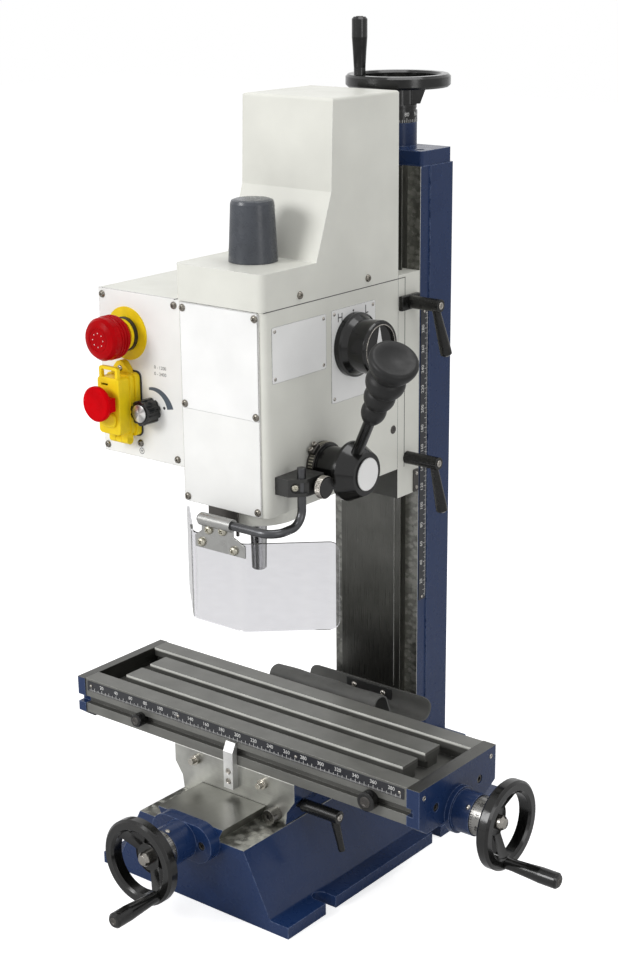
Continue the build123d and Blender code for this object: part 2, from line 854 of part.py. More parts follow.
with BuildPart() as saddle_lever:
    clamp_lever((saddle_half, saddle_lever_y, saddle_lever_z), saddle_hub_long,
                unit(saddle_way), saddle_arm, saddle_tip_r)

# Milling head

with BuildPart() as head_casting:
    block((-head_half, head_half), (head_front, head_rear), head_zs)
    fillet(head_casting.edges().filter_by(Axis.Z).group_by(Axis.Y)[0], head_round)
    bar((0, 0, head_zs[0] + over), DOWN, nose_boss_r, head_zs[0] - nose_boss_low + over)
    bar((0, head_rear - over, tilt_z), BACK, spigot_r, spigot_deep + over)
    block((-gear_room_half, gear_room_half), gear_room_ys, (gear_room_low, head_zs[1] + over), CUT)
    bar((0, 0, nose_boss_low - over), UP, quill_r + turn_fit, gear_room_low - nose_boss_low + 2 * over, CUT)
    bar((head_half + over, feed_y, feed_z), LEFT, feed_shaft_r + turn_fit,
        head_half - feed_shaft_in + 2 * over, CUT)
    bar((head_half + over, range_y, range_z), LEFT, range_shaft_r + turn_fit,
        range_shaft_in + 2 * over, CUT)
    bar((0, cluster_y, gear_room_low + over), DOWN, gear_shaft_r + turn_fit, shaft_in + over, CUT)

with BuildPart() as head_cover:
    shell = [(head_front - panel_thick, cover_low), (head_front - panel_thick, cover_deck),
             (cover_slope_foot, cover_deck),
             cover_slope_head, cover_crown, (head_rear, cover_crown[1]), (head_rear, cover_low)]
    along_x(shell, -head_half, head_half)
    fillet(head_cover.edges().filter_by(Axis.Z).group_by(Axis.Y)[0], head_round)
    fillet(head_cover.edges().group_by(Axis.Z)[-1], cover_ease)
    wall = cover_wall
    room = [(head_front - panel_thick + wall, cover_low - over),
            (head_front - panel_thick + wall, cover_deck - wall),
            (cover_slope_foot + wall, cover_deck - wall), (cover_slope_head[0] + wall, cover_slope_head[1]),
            (cover_crown[0] + wall, cover_crown[1] - wall), (head_rear - wall, cover_crown[1] - wall),
            (head_rear - wall, cover_low - over)]
    along_x(room, wall - head_half, head_half - wall, CUT)
    bar((0, 0, cover_deck - 2 * wall), UP, cover_hole_r, 3 * wall, CUT)

with BuildPart() as drawbar_cap:
    turned((0, 0, cover_deck + way_gap), UP,
           [(cap_base_r - cap_wall, 0), (cap_base_r, 0), (cap_top_r, cap_tall - cap_round),
            (cap_top_r - cap_shoulder, cap_tall - cap_shoulder), (cap_top_r - cap_round, cap_tall),
            (0, cap_tall + over), (0, cap_tall - cap_wall),
            (cap_top_r - cap_wall - over, cap_tall - cap_wall)])

with BuildPart() as front_panel:
    block((-panel_half, panel_half), (head_front - panel_thick, head_front),
          (head_zs[0] + over / 2, head_zs[1] - over / 2))
    fillet(front_panel.edges().filter_by(Axis.Y), panel_round)

# Control box and its operators

with BuildPart() as control_box:
    block(box_xs, box_ys, box_zs)
    inner = [(low + box_wall, high - box_wall) for low, high in (box_xs, box_zs)]
    block(inner[0], (box_ys[0] - over, box_ys[1] - box_wall), inner[1], CUT)

switch_x = sum(switch_xs) / 2

with BuildPart() as control_panel:
    block(box_xs, (box_face, box_ys[0]), box_zs)
    bar((estop_x, box_face - over, estop_z), BACK, estop_shank_r, panel_thick + 2 * over, CUT)
    for hole_x, hole_z in ((speed_x, speed_z), (switch_x, key_z)):
        bar((hole_x, box_face - over, hole_z), BACK, shaft_r + turn_fit, panel_thick + 2 * over, CUT)

with BuildPart() as estop_base:
    turned((estop_x, box_face, estop_z), FRONT,
           [(estop_shank_r, 0), (estop_ring_r, 0), (estop_ring_r, over), (estop_collar_r, over),
            (estop_collar_r, estop_collar_long), (estop_shank_r, estop_collar_long)])

with BuildPart() as estop_button:
    shank = estop_shank_r - turn_fit
    back = estop_head_back
    crown = estop_head_back + estop_head_long
    turned((estop_x, box_face, estop_z), FRONT,
           [(0, 0), (shank, 0), (shank, back), (estop_back_r, back), (estop_head_r, back + estop_back),
            (estop_head_r, back + estop_side), (estop_brow_r, back + estop_brow), (estop_dish_r, crown),
            (0, crown)])

with BuildPart() as switch_base:
    frame_ys = (frame_front, box_face)
    rounded_block(frame_xs, frame_ys, frame_zs, switch_round + over)
    with BuildSketch(Plane.XZ.offset(-box_face)) as ear:
        with Locations((ear_x, ear_z)):
            Circle(ear_r)
        with Locations((ear_x, frame_zs[1] - over)):
            Rectangle(ear_foot, 2 * over)
        make_hull()
    extrude(ear.sketch, amount=box_face - frame_front)
    block((switch_x - tab_half, switch_x + tab_half), (hinge_y, box_face),
          (hinge_z - hinge_r, hinge_z + hinge_r))
    bar((switch_x - tab_half, hinge_y, hinge_z), RIGHT, hinge_r, 2 * tab_half)
    bar((switch_x - lug_x - lug_half, hinge_y, hinge_z), RIGHT, hinge_pin_r, 2 * (lug_x + lug_half))
    bar((switch_x, box_face + over, key_z), FRONT, shaft_r + turn_fit, box_face - frame_front + 2 * over,
        CUT)

with BuildPart() as start_key:
    block((switch_x - key_half, switch_x + key_half), key_ys, (key_z - key_half, key_z + key_half))
    fillet(start_key.edges().group_by(Axis.Y)[0], over)
    bar((switch_x, key_ys[1], key_z), BACK, shaft_r, key_stem_rear - key_ys[1])

with BuildPart() as switch_flap:
    rounded_block(switch_xs, flap_ys, switch_zs, switch_round)
    fillet(switch_flap.edges().group_by(Axis.Y)[0], flap_ease)
    skirt = [(low - flap_step, high + flap_step) for low, high in (switch_xs, switch_zs)]
    rounded_block(skirt[0], (flap_step_y, flap_ys[1]), skirt[1], switch_round)
    bail_ys = (flap_ys[0] + over, flap_ys[0] + over + bail_deep)
    block((switch_x - bail_half, switch_x + bail_half), bail_ys, (switch_zs[1] - over, bail_top))
    fillet(switch_flap.edges().filter_by(Axis.Y).group_by(Axis.Z)[-1], bail_bar)
    block((switch_x - bail_half + bail_bar, switch_x + bail_half - bail_bar),
          (bail_ys[0] - over, bail_ys[1] + over),
          (switch_zs[1], bail_top - bail_bar), CUT)
    for middle in (switch_x - lug_x, switch_x + lug_x):
        block((middle - lug_half, middle + lug_half), (hinge_y - hinge_r, hinge_y + hinge_r),
              (hinge_z, switch_zs[0] + over))
        bar((middle - lug_half, hinge_y, hinge_z), RIGHT, hinge_r, 2 * lug_half)
        bar((middle - lug_half - over, hinge_y, hinge_z), RIGHT, hinge_pin_r + turn_fit,
            2 * (lug_half + over), CUT)
    inside = [(low + flap_wall, high - flap_wall) for low, high in (switch_xs, switch_zs)]
    block(inside[0], (flap_ys[0] + flap_wall, flap_ys[1] + over), inside[1], CUT)
    block(flap_slot_xs, (flap_ys[0] - over, flap_ys[0] + flap_wall + over), flap_slot_zs, CUT)
    bar((paddle_x, flap_ys[0] - over, paddle_z), BACK, paddle_stem_r + turn_fit, flap_wall + 2 * over, CUT)

with BuildPart() as stop_paddle:
    bar((paddle_x, paddle_stem_rear, paddle_z), FRONT, paddle_stem_r, paddle_stem_rear - paddle_ys[1])
    turned((paddle_x, paddle_ys[1], paddle_z), FRONT,
           [(0, 0), (paddle_r, 0), (paddle_r, paddle_edge), (paddle_face_r, paddle_ys[1] - paddle_ys[0]),
            (0, paddle_ys[1] - paddle_ys[0])])
    block((paddle_x, paddle_tab_x), (paddle_ys[1] - over, paddle_tab_y),
          (paddle_z - paddle_tab_half, paddle_z + paddle_tab_half))

with BuildPart() as speed_knob:
    with BuildSketch(Plane.XZ.offset(-box_face + way_gap)):
        with Locations((speed_x, speed_z)):
            Circle(speed_r)
            with PolarLocations(speed_r + flute_r / 2, flute_count):
                Circle(flute_r, mode=CUT)
    extrude(amount=speed_long)
    bar((speed_x, box_face - way_gap - speed_long, speed_z), FRONT, speed_face_r, over)
    bar((speed_x, box_face - way_gap, speed_z), BACK, shaft_r, shaft_in)

with BuildPart() as gear_knob:
    seat, step, neck, front = (x - range_xs[0] for x in range_xs)
    turned((range_xs[0], range_y, range_z), RIGHT,
           [(0, 0), (range_flange_r, 0), (range_flange_r, step), (range_flange_r - 2 * over, step + over),
            (range_neck_r, neck), (range_grip_r, front - 2 * over), (range_grip_r - over, front),
            (range_ring_r, front),
            (range_ring_r, front - 2 * over), (0, front - 2 * over)])
    bar((range_xs[0], range_y, range_z), LEFT, range_shaft_r, range_shaft_in)

# Quill, spindle and the hand feed

with BuildPart() as quill:
    bar((0, 0, quill_zs[0]), UP, quill_r, quill_zs[1] - quill_zs[0])
    block((-quill_r, quill_r), (rack_flat, quill_r + over), (quill_zs[0] - over, quill_zs[1] + over), CUT)
    bar((0, 0, quill_zs[0] - over), UP, spindle_r + turn_fit, quill_zs[1] - quill_zs[0] + 2 * over, CUT)

with BuildPart() as spindle:
    turned((0, 0, spindle_nose), UP,
           [(bore_r, 0), (spindle_r - over, 0), (spindle_r, over),
            (spindle_r, spindle_shoulder - spindle_nose),
            (spindle_neck_r, spindle_shoulder - spindle_nose), (spindle_neck_r, spindle_top - spindle_nose),
            (drawbar_r, spindle_top - spindle_nose), (drawbar_r, bore_top - spindle_nose),
            (bore_r, bore_top - spindle_nose)])

with BuildPart() as arbor:
    turned((0, 0, arbor_tip), UP,
           [(0, 0), (arbor_tip_r - over, 0), (arbor_tip_r, over), (arbor_root_r, spindle_nose - arbor_tip),
            (bore_r, spindle_nose - arbor_tip), (bore_r, bore_top - arbor_tip - over),
            (drawbar_r, bore_top - arbor_tip - over),
            (drawbar_r, drawbar_head - arbor_tip), (bore_r, drawbar_head - arbor_tip),
            (bore_r, drawbar_top - arbor_tip),
            (0, drawbar_top - arbor_tip)])

lever_root = (lever_root_x, feed_y, feed_z)
lever_axis = unit(feed_lever_way)

with BuildPart() as feed_hub:
    ring, collar, swell, hub, brow, face, disc = (x - feed_xs[0] for x in feed_xs)
    turned((feed_xs[0], feed_y, feed_z), RIGHT,
           [(0, ring), (feed_ring_r, ring), (feed_ring_r, collar), (feed_collar_r, collar),
            (feed_collar_r, swell),
            (feed_hub_r, hub), (feed_hub_r, brow), (feed_face_r, face), (feed_disc_r, face),
            (feed_disc_r, disc), (0, disc)])
    bar((feed_xs[0] + over, feed_y, feed_z), LEFT, feed_shaft_r, feed_xs[0] - feed_shaft_in + over)
    bar(shifted(lever_root, lever_axis, feed_rod_start), lever_axis, feed_rod_r, feed_hub_r + feed_ring_r,
        CUT)

grip = [(0, 0), (grip_collar_r, 0), (grip_collar_r, grip_collar)]
fold_foot = 0
for fold_r, fold_at in grip_folds:
    grip += [(waist_share * fold_r, (fold_foot + fold_at) / 2), (fold_r, fold_at - fold_half),
             (fold_r, fold_at + fold_half)]
    fold_foot = fold_at
grip += [(grip_lip_r, grip_lip), (0, grip_dish)]

with BuildPart() as feed_lever:
    bar(shifted(lever_root, lever_axis, feed_rod_start), lever_axis, feed_rod_r,
        grip_start - feed_rod_start + over)
    turned(shifted(lever_root, lever_axis, grip_start), lever_axis, grip)

# Motor and gears inside the head

with BuildPart() as motor:
    block((-motor_plate_half, motor_plate_half), motor_plate_ys, (head_zs[1], motor_zs[0]))
    bar((0, motor_y, motor_zs[0]), UP, motor_r, motor_zs[1] - motor_zs[0])
    bar((0, motor_y, head_zs[1] - over), UP, gear_shaft_r + turn_fit, motor_zs[0] - head_zs[1] + shaft_in,
        CUT)

with BuildPart() as motor_pinion:
    bar((0, motor_y, high_gear_zs[0]), UP, pinion_r, high_gear_zs[1] - high_gear_zs[0])
    bar((0, motor_y, high_gear_zs[0]), UP, gear_shaft_r, motor_zs[0] - high_gear_zs[0] + shaft_in / 2)

with BuildPart() as gear_cluster:
    bar((0, cluster_y, gear_room_low - shaft_in / 2), UP, gear_shaft_r,
        high_gear_zs[1] - gear_room_low + shaft_in / 2)
    bar((0, cluster_y, high_gear_zs[0]), UP, large_gear_r, high_gear_zs[1] - high_gear_zs[0])
    bar((0, cluster_y, low_gear_zs[0]), UP, small_gear_r, low_gear_zs[1] - low_gear_zs[0])

with BuildPart() as spindle_gear:
    hollow_bar((0, 0, gear_room_low + way_gap), UP, sleeve_r, spindle_neck_r + turn_fit,
               low_gear_zs[0] - gear_room_low)
    hollow_bar((0, 0, low_gear_zs[0]), UP, large_gear_r, spindle_neck_r + turn_fit,
               low_gear_zs[1] - low_gear_zs[0])

# Chip guard on the right of the head

with BuildPart() as guard_block:
    block(guard_block_xs, guard_block_ys, guard_block_zs)
    chamfer(guard_block.edges().filter_by(Axis.Z).group_by(Axis.X)[-1].sort_by(Axis.Y)[0], block_chamfer)
    fillet(guard_block.edges().filter_by(Axis.Z).group_by(Axis.X)[-1], casting_round)
    bar((guard_x, guard_y, guard_block_zs[0] - over), UP, guard_rod_r + turn_fit,
        guard_block_zs[1] - guard_block_zs[0] + 2 * over, CUT)
    bar((guard_block_xs[1] + over, knob_y, knob_z), LEFT, knob_shank_r + turn_fit, shaft_in + 2 * over, CUT)
    facet = (guard_block_xs[1] - block_chamfer, guard_block_ys[0], sum(guard_block_zs) / 2)
    with BuildSketch(Plane(origin=facet, x_dir=(1, 1, 0), z_dir=(1, -1, 0))):
        with Locations((block_slot_along, 0)):
            Circle(block_slot_r)
            Rectangle(block_slot_long, 2 * block_slot_r, align=(Align.MIN, Align.CENTER))
    extrude(amount=-block_slot_deep, mode=CUT)

with BuildPart() as guard_rod:
    with BuildLine() as rod_path:
        FilletPolyline((guard_x, guard_y, guard_rod_top), (guard_x, guard_y, guard_bar_z),
                       (guard_x, guard_bar_y, guard_bar_z),
                       (guard_bar_left, guard_bar_y, guard_bar_z), radius=guard_bend)
    with BuildSketch(Plane(origin=(guard_x, guard_y, guard_rod_top), z_dir=DOWN)):
        Circle(guard_rod_r)
    sweep(path=rod_path.wires()[0])

with BuildPart() as guard_bracket:
    hollow_bar((tube_xs[0], guard_bar_y, guard_bar_z), RIGHT, tube_r, guard_rod_r, tube_xs[1] - tube_xs[0])
    skirt_y = shield_path[1][1] - shield_thick / 2
    along_y([(tube_xs[0], guard_bar_z), (tube_xs[1], guard_bar_z), (tube_xs[1], bracket_mid_z + tube_r),
             (bracket_low_xs[1], bracket_mid_z), (bracket_low_xs[1], bracket_low),
             (bracket_low_xs[0], bracket_low),
             (bracket_low_xs[0], bracket_mid_z), (tube_xs[0], bracket_mid_z + tube_r)],
            skirt_y - bracket_thick, skirt_y)
    bar((tube_xs[0] - over, guard_bar_y, guard_bar_z), RIGHT, guard_rod_r,
        tube_xs[1] - tube_xs[0] + 2 * over, CUT)

with BuildPart() as guard_shield:
    with BuildSketch(Plane.XY.offset(shield_zs[0])):
        with BuildLine():
            FilletPolyline(*shield_path, radius=shield_bend)
        trace(line_width=shield_thick)
    extrude(amount=shield_zs[1] - shield_zs[0])
    short_edges = guard_shield.edges().filter_by(lambda edge: edge.length < shield_thick + over)
    fillet(short_edges, shield_round)

with BuildPart() as guard_knob:
    neck = knob_xs[1] - knob_xs[0]
    front = knob_xs[2] - knob_xs[0]
    turned((knob_xs[0], knob_y, knob_z), RIGHT,
           [(0, 0), (knob_neck_r, 0), (knob_neck_r, neck), (knob_r, neck), (knob_r, front - over),
            (knob_r - over, front), (0, front)])
    bar((knob_xs[0], knob_y, knob_z), LEFT, knob_shank_r, shaft_in)

# Pan-head screws of the front panel, control panel and cover


def pan_head(seat, way):
    """Domed screw head standing on a face."""
    turned(seat, way, [(0, 0), (pan_r, 0), (pan_shoulder_r, pan_shoulder), (pan_crown_r, pan_tall),
                       (0, pan_tall)])


with BuildPart() as head_screws:
    for screw_z in front_screw_zs:
        for screw_x in (-front_screw_x, front_screw_x):
            pan_head((screw_x, head_front - panel_thick, screw_z), FRONT)
    for screw_x, screw_z in box_screws:
        pan_head((screw_x, box_face, screw_z), FRONT)
    for screw_y, screw_z in cover_screws:
        pan_head((head_half, screw_y, screw_z), RIGHT)
        pan_head((-head_half, screw_y, screw_z), LEFT)

pieces = {
    "base": base, "column": column, "z_bracket": z_bracket, "y_bracket": y_bracket,
    "saddle": saddle, "saddle_nuts": saddle_nuts, "saddle_pointer": saddle_pointer,
    "saddle_screws": saddle_screws,
    "saddle_lever": saddle_lever, "way_apron": way_apron,
    "table": table, "end_plate_left": end_plate_left, "end_plate_right": end_plate_right,
    "stop_left": stop_left, "stop_right": stop_right,
    "x_screw": x_screw, "x_dial": x_dial, "x_wheel": x_wheel, "x_crank": x_crank,
    "y_screw": y_screw, "y_dial": y_dial, "y_wheel": y_wheel, "y_crank": y_crank,
    "z_screw": z_screw, "z_dial": z_dial, "z_wheel": z_wheel, "z_crank": z_crank,
    "carriage": carriage, "z_nut": z_nut, "z_lever_upper": z_lever_upper, "z_lever_lower": z_lever_lower,
    "head_casting": head_casting, "head_cover": head_cover, "drawbar_cap": drawbar_cap,
    "front_panel": front_panel, "head_screws": head_screws,
    "control_box": control_box, "control_panel": control_panel, "estop_base": estop_base,
    "estop_button": estop_button, "switch_base": switch_base, "switch_flap": switch_flap,
    "stop_paddle": stop_paddle, "start_key": start_key, "speed_knob": speed_knob, "gear_knob": gear_knob,
    "quill": quill, "spindle": spindle, "arbor": arbor, "feed_hub": feed_hub, "feed_lever": feed_lever,
    "motor": motor, "motor_pinion": motor_pinion, "gear_cluster": gear_cluster,
    "spindle_gear": spindle_gear,
    "guard_block": guard_block, "guard_rod": guard_rod, "guard_bracket": guard_bracket,
    "guard_shield": guard_shield, "guard_knob": guard_knob,
}

for label, piece in pieces.items():
    piece.part.label = label
    export_step(piece.part, f"parts/{label}.step")
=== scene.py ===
import collections
import functools
import itertools
import json
from math import cos, pi, radians, sin, sqrt

import bmesh
import bpy
from mathutils import Matrix, Vector


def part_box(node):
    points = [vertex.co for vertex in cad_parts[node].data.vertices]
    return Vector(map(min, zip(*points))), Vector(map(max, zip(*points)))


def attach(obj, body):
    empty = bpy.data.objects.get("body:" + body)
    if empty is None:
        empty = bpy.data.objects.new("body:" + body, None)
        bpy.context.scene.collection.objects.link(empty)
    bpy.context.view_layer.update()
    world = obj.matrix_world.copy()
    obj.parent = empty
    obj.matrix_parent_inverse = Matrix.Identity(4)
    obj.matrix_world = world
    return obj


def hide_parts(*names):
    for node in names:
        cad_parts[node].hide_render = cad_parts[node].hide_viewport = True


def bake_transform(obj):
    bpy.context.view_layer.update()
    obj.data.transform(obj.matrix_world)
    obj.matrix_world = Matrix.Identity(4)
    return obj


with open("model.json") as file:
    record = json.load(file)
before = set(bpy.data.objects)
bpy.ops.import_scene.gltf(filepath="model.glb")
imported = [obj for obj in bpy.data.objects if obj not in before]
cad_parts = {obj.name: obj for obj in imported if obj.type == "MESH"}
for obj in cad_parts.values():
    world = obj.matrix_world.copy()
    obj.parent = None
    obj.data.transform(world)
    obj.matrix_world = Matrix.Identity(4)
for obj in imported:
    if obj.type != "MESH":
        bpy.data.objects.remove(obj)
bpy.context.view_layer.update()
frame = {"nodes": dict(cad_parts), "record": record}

scene = bpy.context.scene

# Sizes are in millimetres in the row frame, and become metres as each mesh is closed.
MM = 0.001
X = Vector((1, 0, 0))
Y = Vector((0, 1, 0))
Z = Vector((0, 0, 1))
TURN = 2 * pi

# The photograph's size, principal point and camera
IMAGE = (618, 960)
FOCAL_PIXELS = 1801.32
PRINCIPAL = (330.906, 491.283)
CAMERA_AT = Vector((1037.85, -1209.56, 879.55))
AZIMUTH, ELEVATION, ROLL = (radians(a) for a in (38.195, 17.5016, -0.3826))

# Studio
AMBIENT = 0.5
FLOOR_GLOW = 0.62
FLOOR_SIZE, FLOOR_THICK, FLOOR_DROP = 14000.0, 10.0, 0.1
LAMP_AIM = Vector((0, 60, 350))
LAMPS = {"key": ((-900, -2100, 1500), 1100, 30.0), "fill": ((2300, -500, 900), 1000, 6.0),
         "top": ((200, 300, 2300), 1200, 12.0)}

# Prints, plates and fastenings. A rivet, a screw and a bolt have a radius and a height.
INK = 0.12
PLATE, PLATE_ROUND = 0.5, 2.0
RIVET, RIVET_INSET = (1.7, 1.0), 4.0
BOLT, BOLT_SINK = (4.0, 3.4), 4.0
CAP_HEIGHT, GLYPH_STEPS = 0.7, 3
CROSS_ARM = 0.28

# The way each handwheel faces
HAND_WAYS = {"x": X, "y": -Y, "z": Z}

Layers = collections.namedtuple("Layers", "colour rough height")


def span(node):
    """Lowest and highest corner of a CAD node, in millimetres."""
    low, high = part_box(node)
    return Vector(low) / MM, Vector(high) / MM


def pivot(joint):
    """A point on a joint's axis, in millimetres."""
    rows = {row["name"]: row for row in frame["record"]["behaviour"]["joints"]}
    return Vector(rows[joint]["pos_m"]) / MM


def on_axis(joint, x):
    """The point at x on a joint's axis, which runs along X."""
    return Vector((x, *pivot(joint).yz))


def face_middle(node, way):
    """Middle of the side of a node's box that faces a way."""
    low, high = span(node)
    return (low + high) / 2 + way * abs((high - low).dot(way)) / 2


def put(name, data):
    """A new object of the scene."""
    thing = bpy.data.objects.new(name, data)
    scene.collection.objects.link(thing)
    return thing


def directions(across, up, count):
    """Directions evenly round a circle."""
    for index in range(count):
        angle = TURN * index / count
        yield cos(angle) * across + sin(angle) * up


# Mesh making

def hexagon(angle):
    """Reach of a unit hexagon at an angle."""
    side = TURN / 6
    return cos(side / 2) / cos(angle % side - side / 2)


def cross(angle):
    """Reach of a unit cross recess at an angle."""
    quarter = TURN / 4
    lean = (angle + quarter / 2) % quarter - quarter / 2
    return min(1 / cos(lean), CROSS_ARM / max(abs(sin(lean)), CROSS_ARM / 2))


def rounded(wide, tall, radius, steps=5):
    """Outline of a rectangle with round corners, about its middle."""
    outline = []
    for corner, (side, level) in enumerate(((1, 1), (-1, 1), (-1, -1), (1, -1))):
        for step in range(steps + 1):
            angle = TURN / 4 * (corner + step / steps)
            outline.append((side * (wide / 2 - radius) + radius * cos(angle),
                            level * (tall / 2 - radius) + radius * sin(angle)))
    return outline


def arc_band(inner, outer, start, end, steps=24):
    """Outline between two arcs whose radii run from one value to another."""
    outline = []
    for radii, order in ((inner, range(steps + 1)), (outer, range(steps, -1, -1))):
        for step in order:
            share = step / steps
            radius = radii[0] + (radii[1] - radii[0]) * share
            angle = radians(start + (end - start) * share)
            outline.append((radius * cos(angle), radius * sin(angle)))
    return outline


def band(inner, outer, tall):
    """Profile of a plain ring."""
    return [(inner, 0), (outer, 0), (outer, tall), (inner, tall), (inner, 0)]


def smooth_line(points, steps):
    """Points of a smooth curve through the given ones."""
    line = []
    last = len(points) - 1
    for index in range(last):
        before, start, end, after = (points[min(max(index + k, 0), last)] for k in (-1, 0, 1, 2))
        for step in range(steps):
            t = step / steps
            line.append(0.5 * (2 * start + (end - before) * t
                               + (2 * before - 5 * start + 4 * end - after) * t ** 2
                               + (3 * start - before - 3 * end + after) * t ** 3))
    return line + [points[-1]]


@functools.lru_cache(maxsize=None)
def glyphs(words):
    """Corners and faces of plain figures of unit size."""
    curve = bpy.data.curves.new("figures", "FONT")
    curve.body = words
    curve.align_x = curve.align_y = "CENTER"
    curve.resolution_u = GLYPH_STEPS
    curve.extrude = INK / 4
    holder = put("figures", curve)
    bpy.context.view_layer.update()
    drawn = bpy.data.meshes.new_from_object(holder.evaluated_get(bpy.context.evaluated_depsgraph_get()))
    corners = [v.co.copy() for v in drawn.vertices]
    faces = [tuple(p.vertices) for p in drawn.polygons]
    bpy.data.objects.remove(holder)
    bpy.data.curves.remove(curve)
    bpy.data.meshes.remove(drawn)
    return corners, faces


# Profiles of heads in shares of radius and height, and shares of a cap screw
DOME = ((1, 0), (1, 0.2), (0.86, 0.62), (0.5, 0.92), (0, 1))
PAN = ((1, 0), (1, 0.3), (0.88, 0.68), (0.7, 0.9), (0.55, 1, cross), (0.385, 0.45, cross), (0, 0.4))
SOCKET_EASE, SOCKET_WIDE, SOCKET_FLOOR = 0.12, 0.62, 0.3
DOME_SIDES, SCREW_SIDES, RING_SIDES = 24, 48, 64


class Form:
    """A mesh in the making. Each shape that is added returns the form."""

    def __init__(self):
        self.mesh = bmesh.new()

    def ring(self, centre, across, up, radius, sides, outline=None):
        """One loop of a turned shape, or a point."""
        if radius == 0:
            return [self.mesh.verts.new(centre)]
        reach = outline or (lambda angle: 1)
        return [self.mesh.verts.new(centre + radius * reach(TURN * index / sides) * out)
                for index, out in enumerate(directions(across, up, sides))]

    def skin(self, first, second):
        """Faces between two neighbouring loops."""
        count = max(len(first), len(second))
        for index in range(count):
            after = (index + 1) % count
            corners = [first[index % len(first)], first[after % len(first)],
                       second[after % len(second)], second[index % len(second)]]
            self.mesh.faces.new(list(dict.fromkeys(corners)))

    def lathe(self, at, way, profile, sides=RING_SIDES):
        """Turns steps of radius, height and any outline about a line. Ends that meet make a ring."""
        way = Vector(way).normalized()
        across = way.orthogonal().normalized()
        up = way.cross(across)
        is_ring = int(profile[0] == profile[-1])
        loops = [self.ring(Vector(at) + height * way, across, up, radius, sides, *outline)
                 for radius, height, *outline in profile[is_ring:]]
        for first, second in zip(loops, loops[1:] + loops[:is_ring]):
            self.skin(first, second)
        for end in (loops[0], loops[-1]):
            if len(end) > 1 and not is_ring:
                self.mesh.faces.new(end)
        return self

    def block(self, centre, size, axes=(X, Y, Z)):
        """A box of that size along its own axes."""
        turn = Matrix(axes).transposed().to_4x4()
        place = Matrix.Translation(Vector(centre)) @ turn @ Matrix.Diagonal((*size, 1))
        bmesh.ops.create_cube(self.mesh, size=1.0, matrix=place)
        return self

    def plate(self, outline, at, right, up, thick):
        """A flat outline along right and up, thickened to its front."""
        front = right.cross(up)
        loops = [[self.mesh.verts.new(Vector(at) + u * right + v * up + rise * front) for u, v in outline]
                 for rise in (0, thick)]
        self.skin(*loops)
        for loop in loops:
            self.mesh.faces.new(loop)
        return self

    def sheet(self, rows, thick):
        """A soft sheet through rows of points, closed round its rim."""
        last, end = len(rows) - 1, len(rows[0]) - 1
        sides = {-0.5: {}, 0.5: {}}
        for r, c in itertools.product(range(last + 1), range(end + 1)):
            along = rows[min(r + 1, last)][c] - rows[max(r - 1, 0)][c]
            across = rows[r][min(c + 1, end)] - rows[r][max(c - 1, 0)]
            for face, layer in sides.items():
                rise = face * thick * along.cross(across).normalized()
                layer[r, c] = self.mesh.verts.new(rows[r][c] + rise)
        rim = [(0, c) for c in range(end)] + [(r, end) for r in range(last)]
        rim += [(last, c) for c in range(end, 0, -1)] + [(r, 0) for r in range(last, 0, -1)]
        for layer in sides.values():
            for r, c in itertools.product(range(last), range(end)):
                self.mesh.faces.new([layer[r + a, c + b] for a, b in ((0, 0), (0, 1), (1, 1), (1, 0))])
        self.skin(*([layer[spot] for spot in rim] for layer in sides.values()))
        return self

    def text(self, words, at, right, up, tall):
        """Plain figures standing a little proud of what carries them."""
        corners, faces = glyphs(words)
        right, up, front = right * tall / CAP_HEIGHT, up * tall / CAP_HEIGHT, right.cross(up)
        made = [self.mesh.verts.new(Vector(at) + c.x * right + c.y * up + c.z * front) for c in corners]
        for face in faces:
            self.mesh.faces.new([made[i] for i in face])
        return self

    def dome(self, at, way, radius, tall):
        """A rivet head."""
        return self.lathe(at, way, [(r * radius, h * tall) for r, h in DOME], DOME_SIDES)

    def socket_screw(self, at, way, radius, tall):
        """A cap screw with a hexagon socket."""
        ease, socket, floor = SOCKET_EASE * radius, SOCKET_WIDE * radius, SOCKET_FLOOR * tall
        profile = [(radius, 0), (radius, tall - ease), (radius - ease, tall), (socket, tall, hexagon),
                   (socket, floor, hexagon), (0, floor)]
        return self.lathe(at, way, profile, SCREW_SIDES)

    def pan_screw(self, at, way, radius, tall):
        """A round-headed screw with a cross recess."""
        profile = [(r * radius, h * tall, *outline) for r, h, *outline in PAN]
        return self.lathe(at, way, profile, SCREW_SIDES)

    def done(self, name, body, finish, bevel=0.0, smooth=35):
        """Closes the form into a named piece that rides on a body."""
        bmesh.ops.recalc_face_normals(self.mesh, faces=self.mesh.faces)
        bmesh.ops.scale(self.mesh, vec=(MM, MM, MM), verts=self.mesh.verts)
        data = bpy.data.meshes.new(name)
        self.mesh.to_mesh(data)
        self.mesh.free()
        data.materials.append(finish.material)
        data.shade_smooth()
        data.set_sharp_from_angle(angle=radians(smooth))
        piece = put(name, data)
        if bevel:
            rounding = piece.modifiers.new("edges", "BEVEL")
            rounding.width = bevel * MM
            rounding.segments = 2
            rounding.limit_method = "ANGLE"
        if body:
            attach(piece, body)
        return piece


def heads(name, body, finish, kind, size, spots):
    """One piece of like heads, each with its place and the way it faces."""
    form = Form()
    for at, way in spots:
        kind(form, at, way, *size)
    return form.done(name, body, finish)


# Materials

EVEN = (1, 1, 1)
CLOUD_RANGE = (0.3, 0.7)
EDGE_RANGE = (0.985, 0.8)


